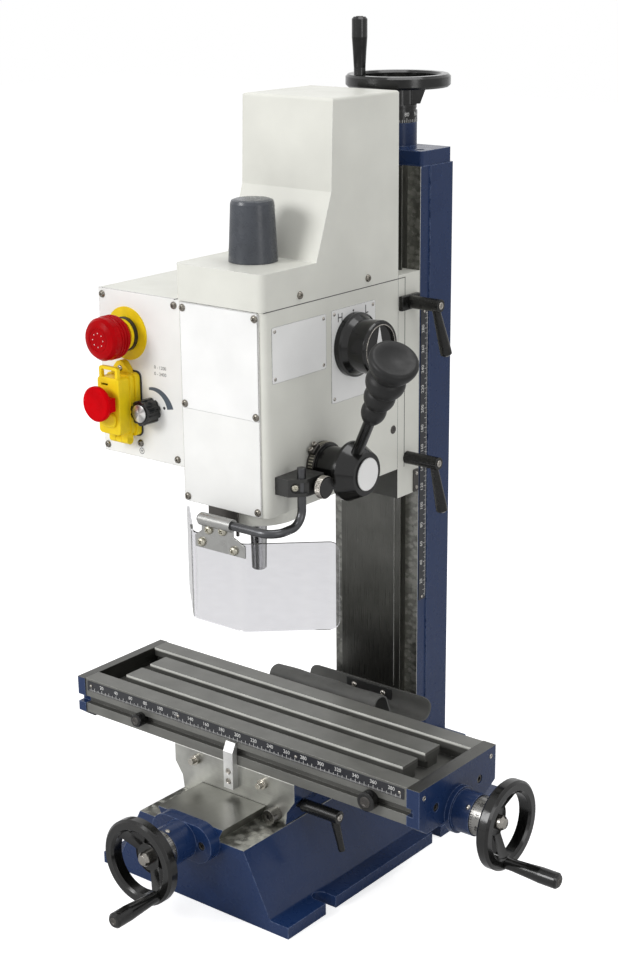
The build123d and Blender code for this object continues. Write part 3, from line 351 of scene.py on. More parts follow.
class Finish:
    """A procedural material, drawn in millimetres of the row frame."""

    def __init__(self, name, slot=None, **sockets):
        self.slot = slot
        self.material = bpy.data.materials.new(name)
        self.material.use_nodes = True
        self.nodes = self.material.node_tree.nodes
        self.links = self.material.node_tree.links
        self.shader = self.nodes["Principled BSDF"]
        self.where = self.add("TexCoord")
        self.place = self.vector("SCALE", self.where.outputs["Object"], None, None, 1 / MM)
        self.set(**sockets)

    def feed(self, socket, value):
        """Links a socket, or sets its own value."""
        if isinstance(value, bpy.types.NodeSocket):
            self.links.new(value, socket)
        elif socket.type == "RGBA":
            socket.default_value = (*value, 1.0)
        else:
            socket.default_value = value

    def set(self, **sockets):
        """Feeds the shader's sockets by name."""
        for name, value in sockets.items():
            self.feed(self.shader.inputs[name.replace("_", " ")], value)

    def add(self, kind, *values, **settings):
        """A node with its settings, and its inputs in their order."""
        node = self.nodes.new("ShaderNode" + kind)
        for key, value in settings.items():
            setattr(node, key, value)
        for socket, value in zip(node.inputs, values):
            if value is not None:
                self.feed(socket, value)
        return node

    def stretched(self, size, stretch):
        """The place in units of a size, drawn out by axes."""
        scale = tuple(1 / (size * s) for s in stretch)
        return self.vector("MULTIPLY", self.place, scale)

    def noise(self, size, detail, stretch=EVEN):
        """Soft noise of that size."""
        return self.add("TexNoise", self.stretched(size, stretch), None, 1.0, detail).outputs[0]

    def clouds(self, size, detail, start=0.0, end=1.0, stretch=EVEN):
        """Noise spread out so that it runs from start to end."""
        return self.spread(self.noise(size, detail, stretch), *CLOUD_RANGE, start, end)

    def cells(self, place):
        """Distance to the nearest cell's middle, and that cell's number."""
        web = self.add("TexVoronoi", place, None, 1.0)
        return web.outputs["Distance"], self.add("SeparateXYZ", web.outputs["Color"]).outputs[0]

    def spread(self, value, low, high, start=0.0, end=1.0):
        """Maps low to high onto start to end."""
        return self.add("MapRange", value, low, high, start, end).outputs[0]

    def math(self, operation, first, second=None):
        """Arithmetic on one or two numbers."""
        return self.add("Math", first, second, operation=operation).outputs[0]

    def above(self, value, level):
        """One over the level, nought elsewhere."""
        return self.math("GREATER_THAN", value, level)

    def below(self, value, level):
        """One under the level, nought elsewhere."""
        return self.math("LESS_THAN", value, level)

    def vector(self, operation, *values):
        """Arithmetic on vectors."""
        return self.add("VectorMath", *values, operation=operation).outputs[0]

    def mix(self, share, first, second):
        """From the first colour to the second as the share grows."""
        return self.add("MixRGB", share, first, second).outputs[0]

    def blend(self, share, first, second):
        """From the first number to the second as the share grows."""
        step = self.math("SUBTRACT", second, first)
        return self.add("Math", share, step, first, operation="MULTIPLY_ADD").outputs[0]

    def axis(self, name):
        """One coordinate of the place."""
        return self.add("SeparateXYZ", self.place).outputs[name]

    def facing(self, name):
        """One part of the surface's direction."""
        return self.add("SeparateXYZ", self.where.outputs["Normal"]).outputs[name]

    def edges(self, wide):
        """Nought on open faces, one along edges."""
        soft = self.add("Bevel", wide * MM).outputs[0]
        flat = self.add("NewGeometry").outputs["Normal"]
        likeness = self.add("VectorMath", soft, flat, operation="DOT_PRODUCT").outputs["Value"]
        return self.spread(likeness, *EDGE_RANGE)

    def wear(self, layers, depth, round_edges=0.6):
        """Puts layers on the shader, in relief of that depth on softened edges."""
        relief = self.add("Bump")
        for name, value in (("Height", layers.height), ("Distance", depth * MM),
                            ("Normal", self.add("Bevel", round_edges * MM).outputs[0])):
            self.feed(relief.inputs[name], value)
        self.set(Base_Color=layers.colour, Roughness=layers.rough, Normal=relief.outputs[0])
        return self

    def over(self, share, under, top):
        """One set of layers over another, by a share."""
        return Layers(self.mix(share, under.colour, top.colour), self.blend(share, under.rough, top.rough),
                      self.blend(share, under.height, top.height))


def lighter(colour, share):
    """A colour times a share."""
    return tuple(min(channel * share, 1.0) for channel in colour)


def enamel(f, colour, wear_and_highlight, gloss):
    """Sprayed paint: slow drift of tone, orange peel, edges lighter from wear and a painted highlight."""
    tone = f.mix(f.clouds(90, 4), lighter(colour, 0.9), lighter(colour, 1.06))
    # Edges lighter towards the edge colour: partly wear, partly a painted highlight.
    rubbed_and_highlit = f.math("MULTIPLY", f.edges(1.3), f.spread(f.noise(4, 4), 0.28, 0.52))
    return Layers(f.mix(rubbed_and_highlit, tone, wear_and_highlight), f.clouds(15, 5, gloss - 0.05, gloss + 0.08), f.noise(2.4, 2))


def ground(f, colour, lines, gloss=0.34, stains=(0.8, 1.1)):
    """Ground steel: fine lines one way, slow stains, edges brighter from wear and a painted highlight."""
    grain = f.noise(0.5, 3, lines)
    tone = f.mix(f.clouds(26, 5), *(lighter(colour, share) for share in stains))
    tone = f.mix(f.spread(grain, 0.3, 0.75, 0.0, 0.3), tone, lighter(colour, 1.5))
    # Brighter edges, broken by noise: partly wear, partly a painted highlight.
    worn_and_highlit = f.math("MULTIPLY", f.edges(0.6), f.spread(f.noise(3, 3), 0.2, 0.6))
    tone = f.mix(worn_and_highlit, tone, lighter(colour, 2.2))
    return Layers(tone, f.spread(grain, 0.25, 0.75, gloss - 0.08, gloss + 0.1), grain)


def flaked(f, colour):
    """Scraped ways: small scoops, each with its own tone."""
    sway = f.vector("MULTIPLY", f.add("TexNoise", f.stretched(6, EVEN)).outputs["Color"], (5, 5, 5))
    distance, own = f.cells(f.vector("MULTIPLY", f.vector("ADD", f.place, sway), (0.17, 0.17, 0.26)))
    tone = f.mix(f.spread(own, 0.2, 0.9), lighter(colour, 0.74), lighter(colour, 1.3))
    tone = f.mix(f.spread(distance, 0.5, 0.9), tone, lighter(colour, 0.55))
    return Layers(tone, f.spread(own, 0.0, 1.0, 0.28, 0.5), distance)


def moulded(f, colour, gloss, grain, edge):
    """Moulded plastic or rubber: faint drift, fine grain, lighter edges from handling, and a painted
    highlight where the edge share is large.
    """
    tone = f.mix(f.clouds(18, 4), lighter(colour, 0.84), lighter(colour, 1.08))
    # Lighter edges from handling; where the edge share is large, as on black gloss, a painted highlight.
    rubbed_and_highlit = f.math("MULTIPLY", f.edges(0.5), f.spread(f.noise(2.5, 3), 0.3, 0.65))
    return Layers(f.mix(rubbed_and_highlit, tone, lighter(colour, edge)), f.clouds(6, 4, gloss - 0.05, gloss + 0.1),
                  f.noise(grain, 2))


def painted(name, slot, colour, wear_and_highlight, gloss, **sockets):
    """A part in enamel all over."""
    f = Finish(name, slot, **sockets)
    return f.wear(enamel(f, colour, wear_and_highlight, gloss), 0.03)


def steel(name, colour, lines, gloss, slot="steel"):
    """A part in ground steel all over."""
    f = Finish(name, slot, Metallic=1.0)
    return f.wear(ground(f, colour, lines, gloss), 0.01)


def streaked(name, dark, light, gloss):
    """Polished bar with painted reflections: broad dark and light bands along Z, set by the way the surface
    faces.
    """
    f = Finish(name, "steel", Metallic=1.0)
    # Tone follows the way the surface faces: painted reflections in bands along Z.
    around = f.vector("MULTIPLY", f.where.outputs["Normal"], (1, 1, 0))
    reflection_band = f.add("TexNoise", around, None, 1.7, 0.0).outputs[0]
    rings = f.noise(1.6, 2, (60, 60, 1))
    tone = f.mix(f.spread(reflection_band, 0.4, 0.62), (dark,) * 3, (light,) * 3)
    return f.wear(Layers(tone, f.spread(rings, *CLOUD_RANGE, gloss - 0.04, gloss + 0.06), rings), 0.002)


def plastic(name, slot, colour, gloss, grain=0.7, depth=0.03, edge=1.5, shine=0.5):
    """A part in plastic or rubber all over."""
    f = Finish(name, slot, Specular_IOR_Level=shine)
    return f.wear(moulded(f, colour, gloss, grain, edge), depth)


NAVY = (0.011, 0.030, 0.098)
# Lighter navy for edges, partly wear and partly a painted highlight.
NAVY_WEAR_AND_HIGHLIGHT = (0.16, 0.21, 0.36)
WAY_STEEL = (0.20, 0.20, 0.185)
ALONG_X, ALONG_Y, ALONG_Z = (60, 1, 1), (1, 60, 1), (1, 1, 60)
PAINT_SHINE = {"Specular_IOR_Level": 0.25, "Coat_Weight": 0.08, "Coat_Roughness": 0.1}
PANEL_EDGE_SHADE = (0.11, 0.11, 0.10)
# Grey paint, and a lighter grey for its edges, partly wear and partly a painted highlight.
GREY, GREY_WEAR_AND_HIGHLIGHT = (0.75, 0.75, 0.69), (0.88, 0.88, 0.84)
COLUMN_WAY_DEEP = 10.6
COLUMN_LAND_HALF = 37.0
BASE_WAY_Z = 72.2
# Depths under the table top where the painted light on the slot walls starts and where it is full; below the
# first, painted shade.
SLOT_NECK, SLOT_LIT = 3.2, 1.6
SADDLE_STEEL = (0.40, 0.40, 0.375)
# Top of the saddle, and the height of the painted highlight band under it.
SADDLE_TOP, SADDLE_LIT = 117.5, 0.9
GIB_Z = 95.0
TABLE_METAL = 0.45


def casting(name, is_way, metal, slot="blue_paint", paint=(NAVY, NAVY_WEAR_AND_HIGHLIGHT, 0.26)):
    """Painted casting with bare machined ways where is_way says."""
    f = Finish(name, slot, **PAINT_SHINE)
    share = is_way(f)
    f.set(Metallic=share)
    return f.wear(f.over(share, enamel(f, *paint), metal(f)), 0.04)


def column_ways(f):
    """The ways are all that stands before the side faces."""
    return f.below(f.axis("Y"), span("column")[0].y + COLUMN_WAY_DEEP)


def column_metal(f):
    """Ground land between scraped wings, with flanks that face sideways painted light as a highlight."""
    off_land = f.above(f.math("ABSOLUTE", f.axis("X")), COLUMN_LAND_HALF)
    land = ground(f, lighter(WAY_STEEL, 0.45), ALONG_Z, 0.3)
    wings = f.over(off_land, land, flaked(f, lighter(WAY_STEEL, 1.1)))
    # Faces turned sideways take much lighter steel: a painted highlight.
    flank = f.above(f.math("ABSOLUTE", f.facing("X")), 0.6)
    return f.over(flank, wings, ground(f, lighter(WAY_STEEL, 2.6), ALONG_Z, 0.4))


def base_ways(f):
    """The tops of the ways, but not the painted front."""
    return f.math("MULTIPLY", f.above(f.axis("Z"), BASE_WAY_Z), f.above(f.facing("Y"), -0.5))


def base_metal(f):
    """Ground dovetail above scraped wings."""
    low = f.below(f.axis("Z"), BASE_WAY_Z + 1)
    return f.over(low, ground(f, lighter(WAY_STEEL, 1.2), ALONG_Y), flaked(f, lighter(WAY_STEEL, 2.6)))


def table_steel():
    """Ground table; the upper slot walls are painted pale as a highlight, and the steel lower in the slots
    is painted dark as shade.
    """
    f = Finish("table_steel", "ground_steel")
    low, high = span("table")
    top = ground(f, lighter(WAY_STEEL, 0.85), ALONG_X, 0.4)
    # Pale, less metallic upper slot walls: painted light.
    pale = ground(f, lighter(WAY_STEEL, 4.2), ALONG_X, 0.5)
    # Darker steel low in the slots: painted shade.
    dark = ground(f, lighter(WAY_STEEL, 0.6), ALONG_X, 0.5)
    wall = f.above(f.math("ABSOLUTE", f.facing("Y")), 0.7)
    inside = f.above(f.axis("Y"), low.y + 1)
    neck = f.spread(f.axis("Z"), high.z - SLOT_NECK, high.z - SLOT_LIT)
    lit_slot_wall = f.math("MULTIPLY", f.math("MULTIPLY", wall, inside), neck)
    shaded_low = f.math("MULTIPLY", f.below(f.axis("Z"), high.z - SLOT_NECK), inside)
    f.set(Metallic=f.spread(lit_slot_wall, 0.0, 1.0, TABLE_METAL, 0.0))
    return f.wear(f.over(shaded_low, f.over(lit_slot_wall, top, pale), dark), 0.012)


def clear_sheet():
    """Clear guard: faint violet tint in upright bands, a little hazed."""
    f = Finish("clear_shield", "clear_shield", Transmission_Weight=1.0, IOR=1.46)
    bands = f.clouds(16, 2, stretch=(1, 1, 12))
    tone = f.mix(bands, (0.94, 0.936, 0.968), (0.965, 0.96, 0.987))
    f.set(Base_Color=tone, Roughness=f.spread(f.noise(30, 3), 0.35, 0.75, 0.0, 0.03))
    return f


def spun(name, colour, middle):
    """Aluminium face with rings from the lathe, and painted sheen in lighter and darker sectors round its
    middle.
    """
    f = Finish(name, "steel", Metallic=1.0)
    away = f.vector("SUBTRACT", f.place, tuple(middle))
    radius = f.add("VectorMath", away, operation="LENGTH").outputs["Value"]
    rings = f.add("TexNoise", f.add("CombineXYZ", radius).outputs[0], None, 2.5, 2.0).outputs[0]
    # Sectors round the middle, lighter and darker: a painted sheen.
    sides = f.add("TexNoise", f.vector("NORMALIZE", away), None, 1.6, 1.0).outputs[0]
    tone = f.mix(f.spread(sides, 0.35, 0.65), lighter(colour, 0.45), lighter(colour, 1.15))
    return f.wear(Layers(tone, f.spread(rings, *CLOUD_RANGE, 0.2, 0.4), rings), 0.02)


def zinc(name, colour):
    """Plated sheet with a soft spangle and a painted highlight along its edges."""
    f = Finish(name, "steel", Metallic=1.0)
    distance, own = f.cells(f.stretched(7, EVEN))
    tone = f.mix(own, lighter(colour, 0.93), lighter(colour, 1.06))
    # Lighter along every edge: a painted highlight.
    tone = f.mix(f.edges(0.5), tone, lighter(colour, 1.6))
    return f.wear(Layers(tone, f.clouds(3, 4, 0.26, 0.42), distance), 0.004)


def end_plate(side, inward):
    """Navy plate, bare on its top and on the face towards the table."""
    def bare(f):
        inner = f.above(f.math("MULTIPLY", f.facing("X"), inward), 0.7)
        return f.math("MAXIMUM", inner, f.above(f.axis("Z"), span("end_plate_" + side)[1].z - 0.4))
    return casting(side + "_plate_navy", bare, lambda f: ground(f, lighter(WAY_STEEL, 0.45), ALONG_Y))


def carriage_paint():
    """Grey casting, bare on the face that the head turns on."""
    return casting("carriage_enamel", lambda f: f.below(f.facing("Y"), -0.7),
                   lambda f: ground(f, lighter(WAY_STEEL, 0.3), ALONG_X, 0.45),
                   "grey_paint", (GREY, GREY_WEAR_AND_HIGHLIGHT, 0.36))


def saddle_paint():
    """Ground saddle with navy flanks and a painted highlight along its top edge."""
    def bare(f):
        return f.below(f.math("ABSOLUTE", f.facing("X")), 0.3)

    def metal(f):
        # A lighter band just under the top: a painted highlight along the edge.
        lit = f.above(f.axis("Z"), SADDLE_TOP - SADDLE_LIT)
        return f.over(lit, ground(f, SADDLE_STEEL, ALONG_X, 0.4, (0.66, 1.2)),
                      ground(f, lighter(SADDLE_STEEL, 2.0), ALONG_X, 0.4))
    return casting("saddle_navy", bare, metal)


def gib_screws():
    """Bright gib screws above a darker clamp bolt."""
    f = Finish("gib_nickel", "steel", Metallic=1.0)
    high = f.above(f.axis("Z"), GIB_Z)
    return f.wear(f.over(high, ground(f, (0.15, 0.145, 0.135), EVEN, 0.26),
                         ground(f, (0.42, 0.40, 0.36), EVEN, 0.2)), 0.01)


def panel(name, colour):
    """White sheet panel with painted shade in a dark line along its edges."""
    f = Finish(name, "panel_white", Specular_IOR_Level=0.4)
    layers = enamel(f, colour, colour, 0.34)
    # A dark line along every edge: painted shade of the gap around the panel.
    edge_shaded = f.mix(f.edges(1.0), layers.colour, PANEL_EDGE_SHADE)
    return f.wear(layers._replace(colour=edge_shaded), 0.015, 0.4)


# Colour, roughness, size of grain, depth of grain, how light the edges are made by wear and painted
# highlight, and shine
PLASTICS = {
    # Black gloss edges go fourteen times lighter: a painted highlight along its edges.
    "black_gloss": ((0.005, 0.005, 0.0048), 0.15, 3.0, 0.02, 14.0, 0.45),
    "slate_plastic": ((0.052, 0.058, 0.070), 0.26, 1.2, 0.03, 2.0),
    "yellow_plastic": ((0.94, 0.68, 0.012), 0.36, 0.8, 0.04, 1.05, 0.2),
    "red_plastic": ((0.60, 0.0006, 0.004), 0.26, 1.5, 0.02, 1.1, 0.03),
    "green_plastic": ((0.02, 0.28, 0.06), 0.35),
    "dark_plastic": ((0.018, 0.018, 0.018), 0.45, 0.8, 0.04, 3.0),
    "grip_rubber": ((0.012, 0.012, 0.012), 0.42, 0.6, 0.06, 2.2, 0.3),
    "apron_rubber": ((0.085, 0.085, 0.08), 0.62, 1.1, 0.08, 1.6),
}
finish = {slot: plastic(slot, slot, *values) for slot, values in PLASTICS.items()}
finish.update({
    "blue_paint": painted("navy_enamel", "blue_paint", NAVY, NAVY_WEAR_AND_HIGHLIGHT, 0.26, **PAINT_SHINE),
    "grey_paint": painted("grey_enamel", "grey_paint", GREY, GREY_WEAR_AND_HIGHLIGHT, 0.36, Specular_IOR_Level=0.4),
    "panel_white": panel("panel_enamel", (0.87, 0.87, 0.85)),
    "steel": steel("bright_steel", (0.58, 0.58, 0.56), ALONG_Z, 0.24),
    "bronze": steel("nut_bronze", (0.55, 0.36, 0.14), ALONG_X, 0.36, "bronze"),
    "motor_paint": painted("motor_enamel", "motor_paint", (0.03, 0.03, 0.032), (0.2, 0.2, 0.2), 0.45),
    "clear_shield": clear_sheet(),
})
aluminium = steel("cast_aluminium", (0.72, 0.72, 0.71), (1, 1, 3), 0.45, "ground_steel")
dial_steel = steel("dial_steel", (0.24, 0.235, 0.225), EVEN, 0.26)
quill_steel = steel("quill_steel", (0.16, 0.155, 0.15), ALONG_Z, 0.3)
black_steel = steel("black_bolts", (0.09, 0.085, 0.08), EVEN, 0.34)
nickel = steel("nickel_screws", (0.36, 0.34, 0.31), EVEN, 0.22)
dull_nickel = steel("dull_nickel", (0.21, 0.195, 0.17), EVEN, 0.2)
nut_nickel = steel("nut_nickel", (0.30, 0.285, 0.26), EVEN, 0.18)
gold = zinc("yellow_zinc", (0.46, 0.44, 0.37))
rule_black = plastic("rule_black", "dark_plastic", (0.014, 0.015, 0.020), 0.32, 1.0, 0.01, 3.0)
white_ink = plastic("white_ink", "panel_white", (0.80, 0.80, 0.78), 0.5)
black_ink = plastic("black_ink", "dark_plastic", (0.012, 0.012, 0.014), 0.5)
grey_ink = plastic("grey_ink", "dark_plastic", (0.075, 0.095, 0.12), 0.5)
white_plate = panel("label_plate", (0.90, 0.90, 0.89))
stop_red = plastic("stop_red", "red_plastic", (0.42, 0.0006, 0.003), 0.2, 1.5, 0.02, 1.1, 0.06)
lever_black = plastic("lever_black", "black_gloss", (0.010, 0.010, 0.0095), 0.24, 0.9, 0.04, 2.0, 0.35)

NODE_FINISH = {
    "table": table_steel(), "carriage": carriage_paint(), "saddle": saddle_paint(),
    "column": casting("column_navy", column_ways, column_metal),
    "base": casting("base_navy", base_ways, base_metal),
    "end_plate_left": end_plate("left", 1), "end_plate_right": end_plate("right", -1),
    "arbor": streaked("polished_steel", 0.03, 0.42, 0.2), "quill": quill_steel, "spindle": quill_steel,
    "guard_rod": steel("blued_steel", (0.085, 0.086, 0.09), EVEN, 0.32),
    "guard_bracket": zinc("zinc_plate", (0.34, 0.34, 0.33)),
    "guard_block": plastic("block_black", "dark_plastic", (0.024, 0.024, 0.023), 0.4, 0.9, 0.04, 2.0),
    "saddle_pointer": aluminium, "x_dial": dial_steel, "y_dial": dial_steel,
    "saddle_screws": gib_screws(), "head_screws": dull_nickel, "estop_button": stop_red,
    **{axis + "_screw": nut_nickel for axis in "xyz"},
    **{lever: lever_black for lever in ("saddle_lever", "z_lever_upper", "z_lever_lower")},
}


def dress_nodes():
    """Gives every CAD node its finish."""
    for row in frame["record"]["subparts"]:
        node = row["node"]
        data = frame["nodes"][node].data
        data.materials.clear()
        look = NODE_FINISH.get(node) or finish[row["material_slot"]]
        data.materials.append(look.material)


# Scales and dials

# Marks of a scale in shares of its width: heights every ten, five and one, and where the rest stands
MARK_TALL = ((10, 0.36), (5, 0.26), (1, 0.15))
MARK_FOOT, FIGURE_AT, FIGURE_TALL, RIVET_AT = 0.05, 0.68, 0.34, 0.55
MARK_WIDE, FINE_WIDE = 0.42, 0.22
RULE_ROUND, RULE_END, FIGURE_GAP = 0.8, 3, 20
DIAL_MARKS, DIAL_GROUP, DIAL_VALUE = 50, 5, 2
DIAL_LONG, DIAL_SHORT, DIAL_WIDE = 4.4, 2.8, 0.45
DIAL_FIGURE_AT, DIAL_FIGURE_TALL = 7.6, 3.6
INDEX = (2.4, 1.6)


def printed_rule(name, body, start, along, up, long, wide, rivets):
    """A black scale with white marks and figures, held by rivets."""
    front = along.cross(up)
    middle = start + along * long / 2 + up * wide / 2
    Form().plate(rounded(long, wide, RULE_ROUND), middle, along, up, PLATE).done(name, body, rule_black)
    marks = Form()
    face = start + PLATE * front
    for mark in range(RULE_END, int(long) - RULE_END + 1):
        tall = wide * next(share for gap, share in MARK_TALL if mark % gap == 0)
        spot = face + along * mark + up * (MARK_FOOT * wide + tall / 2)
        marks.block(spot, (FINE_WIDE if mark % 5 else MARK_WIDE, tall, 2 * INK), (along, up, front))
        if mark % FIGURE_GAP == 0:
            marks.text(str(mark), face + along * mark + up * FIGURE_AT * wide, along, up, FIGURE_TALL * wide)
    marks.done(name + "_marks", body, white_ink)
    heads(name + "_rivets", body, nickel, Form.dome, RIVET,
          [(face + along * spot + up * RIVET_AT * wide, front) for spot in rivets])


def dial_marks(axis, way, ink):
    """Marks and figures round a dial, from its bracket side."""
    dial = axis + "_dial"
    low, high = span(dial)
    radius = max(high - low) / 2
    edge = face_middle(dial, -way)
    across = way.orthogonal().normalized()
    marks = Form()
    for index, out in enumerate(directions(across, way.cross(across), DIAL_MARKS)):
        tangent = way.cross(out)
        tall = DIAL_SHORT if index % DIAL_GROUP else DIAL_LONG
        marks.block(edge + out * radius + way * tall / 2, (DIAL_WIDE, tall, 2 * INK), (tangent, way, out))
        if index % DIAL_GROUP == 0:
            spot = edge + out * (radius + INK) + way * DIAL_FIGURE_AT
            marks.text(str(DIAL_VALUE * index), spot, tangent, way, DIAL_FIGURE_TALL)
    marks.done(dial + "_marks", axis + "_drive", ink)


def scales():
    """The long scales on table and column, the dials and their index marks."""
    low, high = span("table")
    long = high.x - low.x - 2 * RULE_END
    printed_rule("table_rule", "table", Vector((low.x + RULE_END, low.y, high.z - 12.6)), X, Z, long, 10.6,
                 (5, 124, 271, long - 5))
    start = Vector((span("carriage")[1].x, span("column")[0].y + 23.8, 225))
    printed_rule("column_rule", "frame", start, Z, -Y, 300, 11.5, (3, 151, 297))
    for axis, way in HAND_WAYS.items():
        dial_marks(axis, way, white_ink if axis == "z" else black_ink)
    for name, body, at, way in (
            ("x_index", "table", (span("end_plate_right")[1].x - 3, 1.2, 127.6), (0, -1, 0.95)),
            ("y_index", "frame", (4.5, span("y_bracket")[0].y + 3, 87.9), (0.25, 0, 1)),
            ("z_index", "frame", (8.4, 203.3, span("z_bracket")[1].z - 3.5), (0.57, -1, 0))):
        heads(name, body, nickel, Form.dome, INDEX, [(at, way)])


# Plates and prints on the head

def riveted_plate(name, middle, wide, tall):
    """A bare plate on the head's right side, riveted at its corners."""
    Form().plate(rounded(wide, tall, PLATE_ROUND), middle, Y, Z, PLATE).done(name, "head", white_plate)
    out_y, out_z = wide / 2 - RIVET_INSET, tall / 2 - RIVET_INSET
    heads(name + "_rivets", "head", nickel, Form.dome, RIVET,
          [(middle + Vector((PLATE, y, z)), X) for y in (-out_y, out_y) for z in (-out_z, out_z)])


LETTER_TALL = 8.0


def head_plates():
    """Plates on the head's side and front, with range letters."""
    side = span("head_casting")[1].x
    riveted_plate("gear_plate", Vector((side, 78.4, 503.1)), 66.2, 87.0)
    riveted_plate("label_plate", Vector((side, -0.55, 520.3)), 76.3, 50.6)
    face = side + PLATE
    letters = Form().text("H", (face, 58.1, 538.0), Y, Z, LETTER_TALL)
    letters.text("L", (face, 97.9, 539.5), Y, Z, LETTER_TALL).dome((face, 77.9, 541.8), X, 1.1, INK)
    letters.done("range_letters", "head", black_ink)
    badge = Form().plate(rounded(90.6, 97.0, 0.6), (0, span("front_panel")[0].y, 510.4), X, Z, 0.35)
    badge.done("front_plate", "head", white_plate)


SPEED_LINES, SPEED_TALL = ((484.5, "0 - 1200"), (478.3, "0 - 2400")), 3.2
SPEED_ARC = ((19.4, 20.6), (21.8, 28.5), 97, 10)
# Ring of the earth sign, and the level, width and height of its bars
EARTH_RING = ((2.6, 2.6), (3.1, 3.1), 0, 359)
EARTH_BARS = ((0.4, 3.0, 0.4), (-0.5, 2.0, 0.4), (-1.4, 1.0, 0.4), (1.3, 0.4, 1.6))


def control_prints():
    """Speed arc, generic figures, off dot and earth sign on the control panel."""
    middle = face_middle("speed_knob", -Y)
    middle.y = face = span("control_panel")[0].y
    Form().plate(arc_band(*SPEED_ARC), middle, X, Z, INK).done("speed_arc", "head", grey_ink)
    earth = Vector((-127.6, face, 399.4))
    signs = Form().dome(middle + Vector((16.4, 0, 4.4)), -Y, 1.5, 0.5)
    signs.plate(arc_band(*EARTH_RING), earth, X, Z, INK)
    for level, wide, tall in EARTH_BARS:
        signs.block(earth + level * Z, (wide, 2 * INK, tall))
    for level, words in SPEED_LINES:
        signs.text(words, (-100.0, face, level), X, Z, SPEED_TALL)
    signs.done("panel_signs", "head", black_ink)


SPEED_FACE = [(8.5, 0), (8.5, 0.3), (8.0, 0.5), (1.0, 0.4), (0, 0.3)]
RANGE_POINTER, POINTER_SINK, RIM_SINK = [(-5.4, -1.0), (5.4, -1.0), (0, 20.4)], 2.0, 0.6
FEED_DISC = [(15.2, 0), (15.2, 0.2), (14.8, 0.5), (8, 0.6), (0, 0.6)]


def knob_faces():
    """Face of the speed knob, pointer of the range knob and disc of the feed hub."""
    middle = face_middle("speed_knob", -Y)
    metal = spun("spun_face", (0.62, 0.61, 0.60), middle)
    Form().lathe(middle, -Y, SPEED_FACE, SCREW_SIDES).done("speed_face", "speed", metal)
    middle = on_axis("range_turn", span("gear_knob")[1].x)
    pointer = Form().plate(RANGE_POINTER, middle - POINTER_SINK * X, Y, Z, 0.8)
    pointer.done("range_pointer", "range", aluminium, bevel=0.2)
    Form().lathe(middle - RIM_SINK * X, X, band(21.4, 22.1, 0.9)).done("range_rim", "range", nickel)
    middle = on_axis("feed_turn", span("feed_hub")[1].x)
    Form().lathe(middle, X, FEED_DISC).done("feed_disc", "feed", white_plate)


RING_R, RING_DEEP, RING_WIDE, RING_TEETH = 21.9, 0.5, 7.4, 48
CLIP_WAY = Vector((0, -0.62, 0.78)).normalized()
CLIP, CLIP_OUT, CLIP_SCREW_OUT = (6.6, 4.2, 11.5), 1.9, 4.0


def feed_ring():
    """Toothed steel band at the root of the feed hub, with its clamp."""
    middle = pivot("feed_turn") + X
    ring = Form().lathe(middle, X, band(RING_R - RING_DEEP, RING_R, RING_WIDE), 72)
    ring.done("feed_ring", "feed", black_steel)
    teeth = Form()
    for out in directions(Y, Z, RING_TEETH):
        spot = middle + out * RING_R + X * RING_WIDE * 0.55
        teeth.block(spot, (1.2, 0.6 * RING_WIDE, RING_DEEP), (X.cross(out), X, out))
    teeth.done("feed_ring_teeth", "feed", gold)
    side = X.cross(CLIP_WAY)
    seat = middle + X * RING_WIDE / 2 + CLIP_WAY * RING_R
    clip = Form().block(seat + CLIP_WAY * CLIP_OUT, CLIP, (X, CLIP_WAY, side))
    clip.done("feed_clip", "feed", black_steel, bevel=0.5)
    heads("feed_clip_screws", "feed", nickel, Form.socket_screw, (2.3, 2.4),
          [(seat + CLIP_WAY * CLIP_SCREW_OUT + side * shift, CLIP_WAY) for shift in (-3.1, 3.1)])


# Width and standing-out of the painted shade strips, and how far up the head they start.
GAP_SHADE_WIDE, GAP_SHADE_OUT, HEAD_SKIRT = 0.7, 0.12, 16.0


def seams():
    """Black strips of painted shade along the joints between head, cover and carriage."""
    low, high = span("head_cover")
    rear = span("head_casting")[1].y
    foot = span("head_casting")[0].z + HEAD_SKIRT
    # Black strips standing just proud where the joints are in shade: painted shade.
    gaps = Form()
    for side in (low.x, high.x):
        gaps.block((side, (low.y + rear) / 2, low.z), (2 * GAP_SHADE_OUT, rear - low.y, GAP_SHADE_WIDE))
        gaps.block((side, rear - GAP_SHADE_WIDE / 2, (foot + low.z) / 2), (2 * GAP_SHADE_OUT, GAP_SHADE_WIDE, low.z - foot))
    gaps.done("head_gap_shade", "head", black_ink)


# Fastenings

BRACKET_BOLTS = (((25.0, -115.0, 69.7), -Y), ((42.0, 196.0, 671.0), Z))
LEVER_SCREW, LEVER_REACH = (3.4, 1.0), {"saddle_clamp": 42.3, "upper_clamp": 38.3, "lower_clamp": 38.3}
GUARD_SCREWS, GUARD_PLATE_Y = ((-3.8, 357.0), (12.8, 358.8), (-12.7, 343.7), (26.0, 343.0)), -64.2
BLOCK_CHAMFER, BLOCK_SCREW, BLOCK_SLOT = 12.0, 6.4, 2.0
PANEL_SCREW = (3.5, 2.3)
PANEL_SCREWS = {"front_panel": [(x, z) for x in (-42.0, 42.0) for z in (378.0, 466.0, 554.0)],
                "control_panel": [(-172.0, 546.5), (-80.0, 546.5), (-172.5, 398.8), (-81.0, 398.8),
                                  (-128.5, 407.0)]}
COVER_SCREWS = ((1.0, 568.0), (100.5, 568.0))


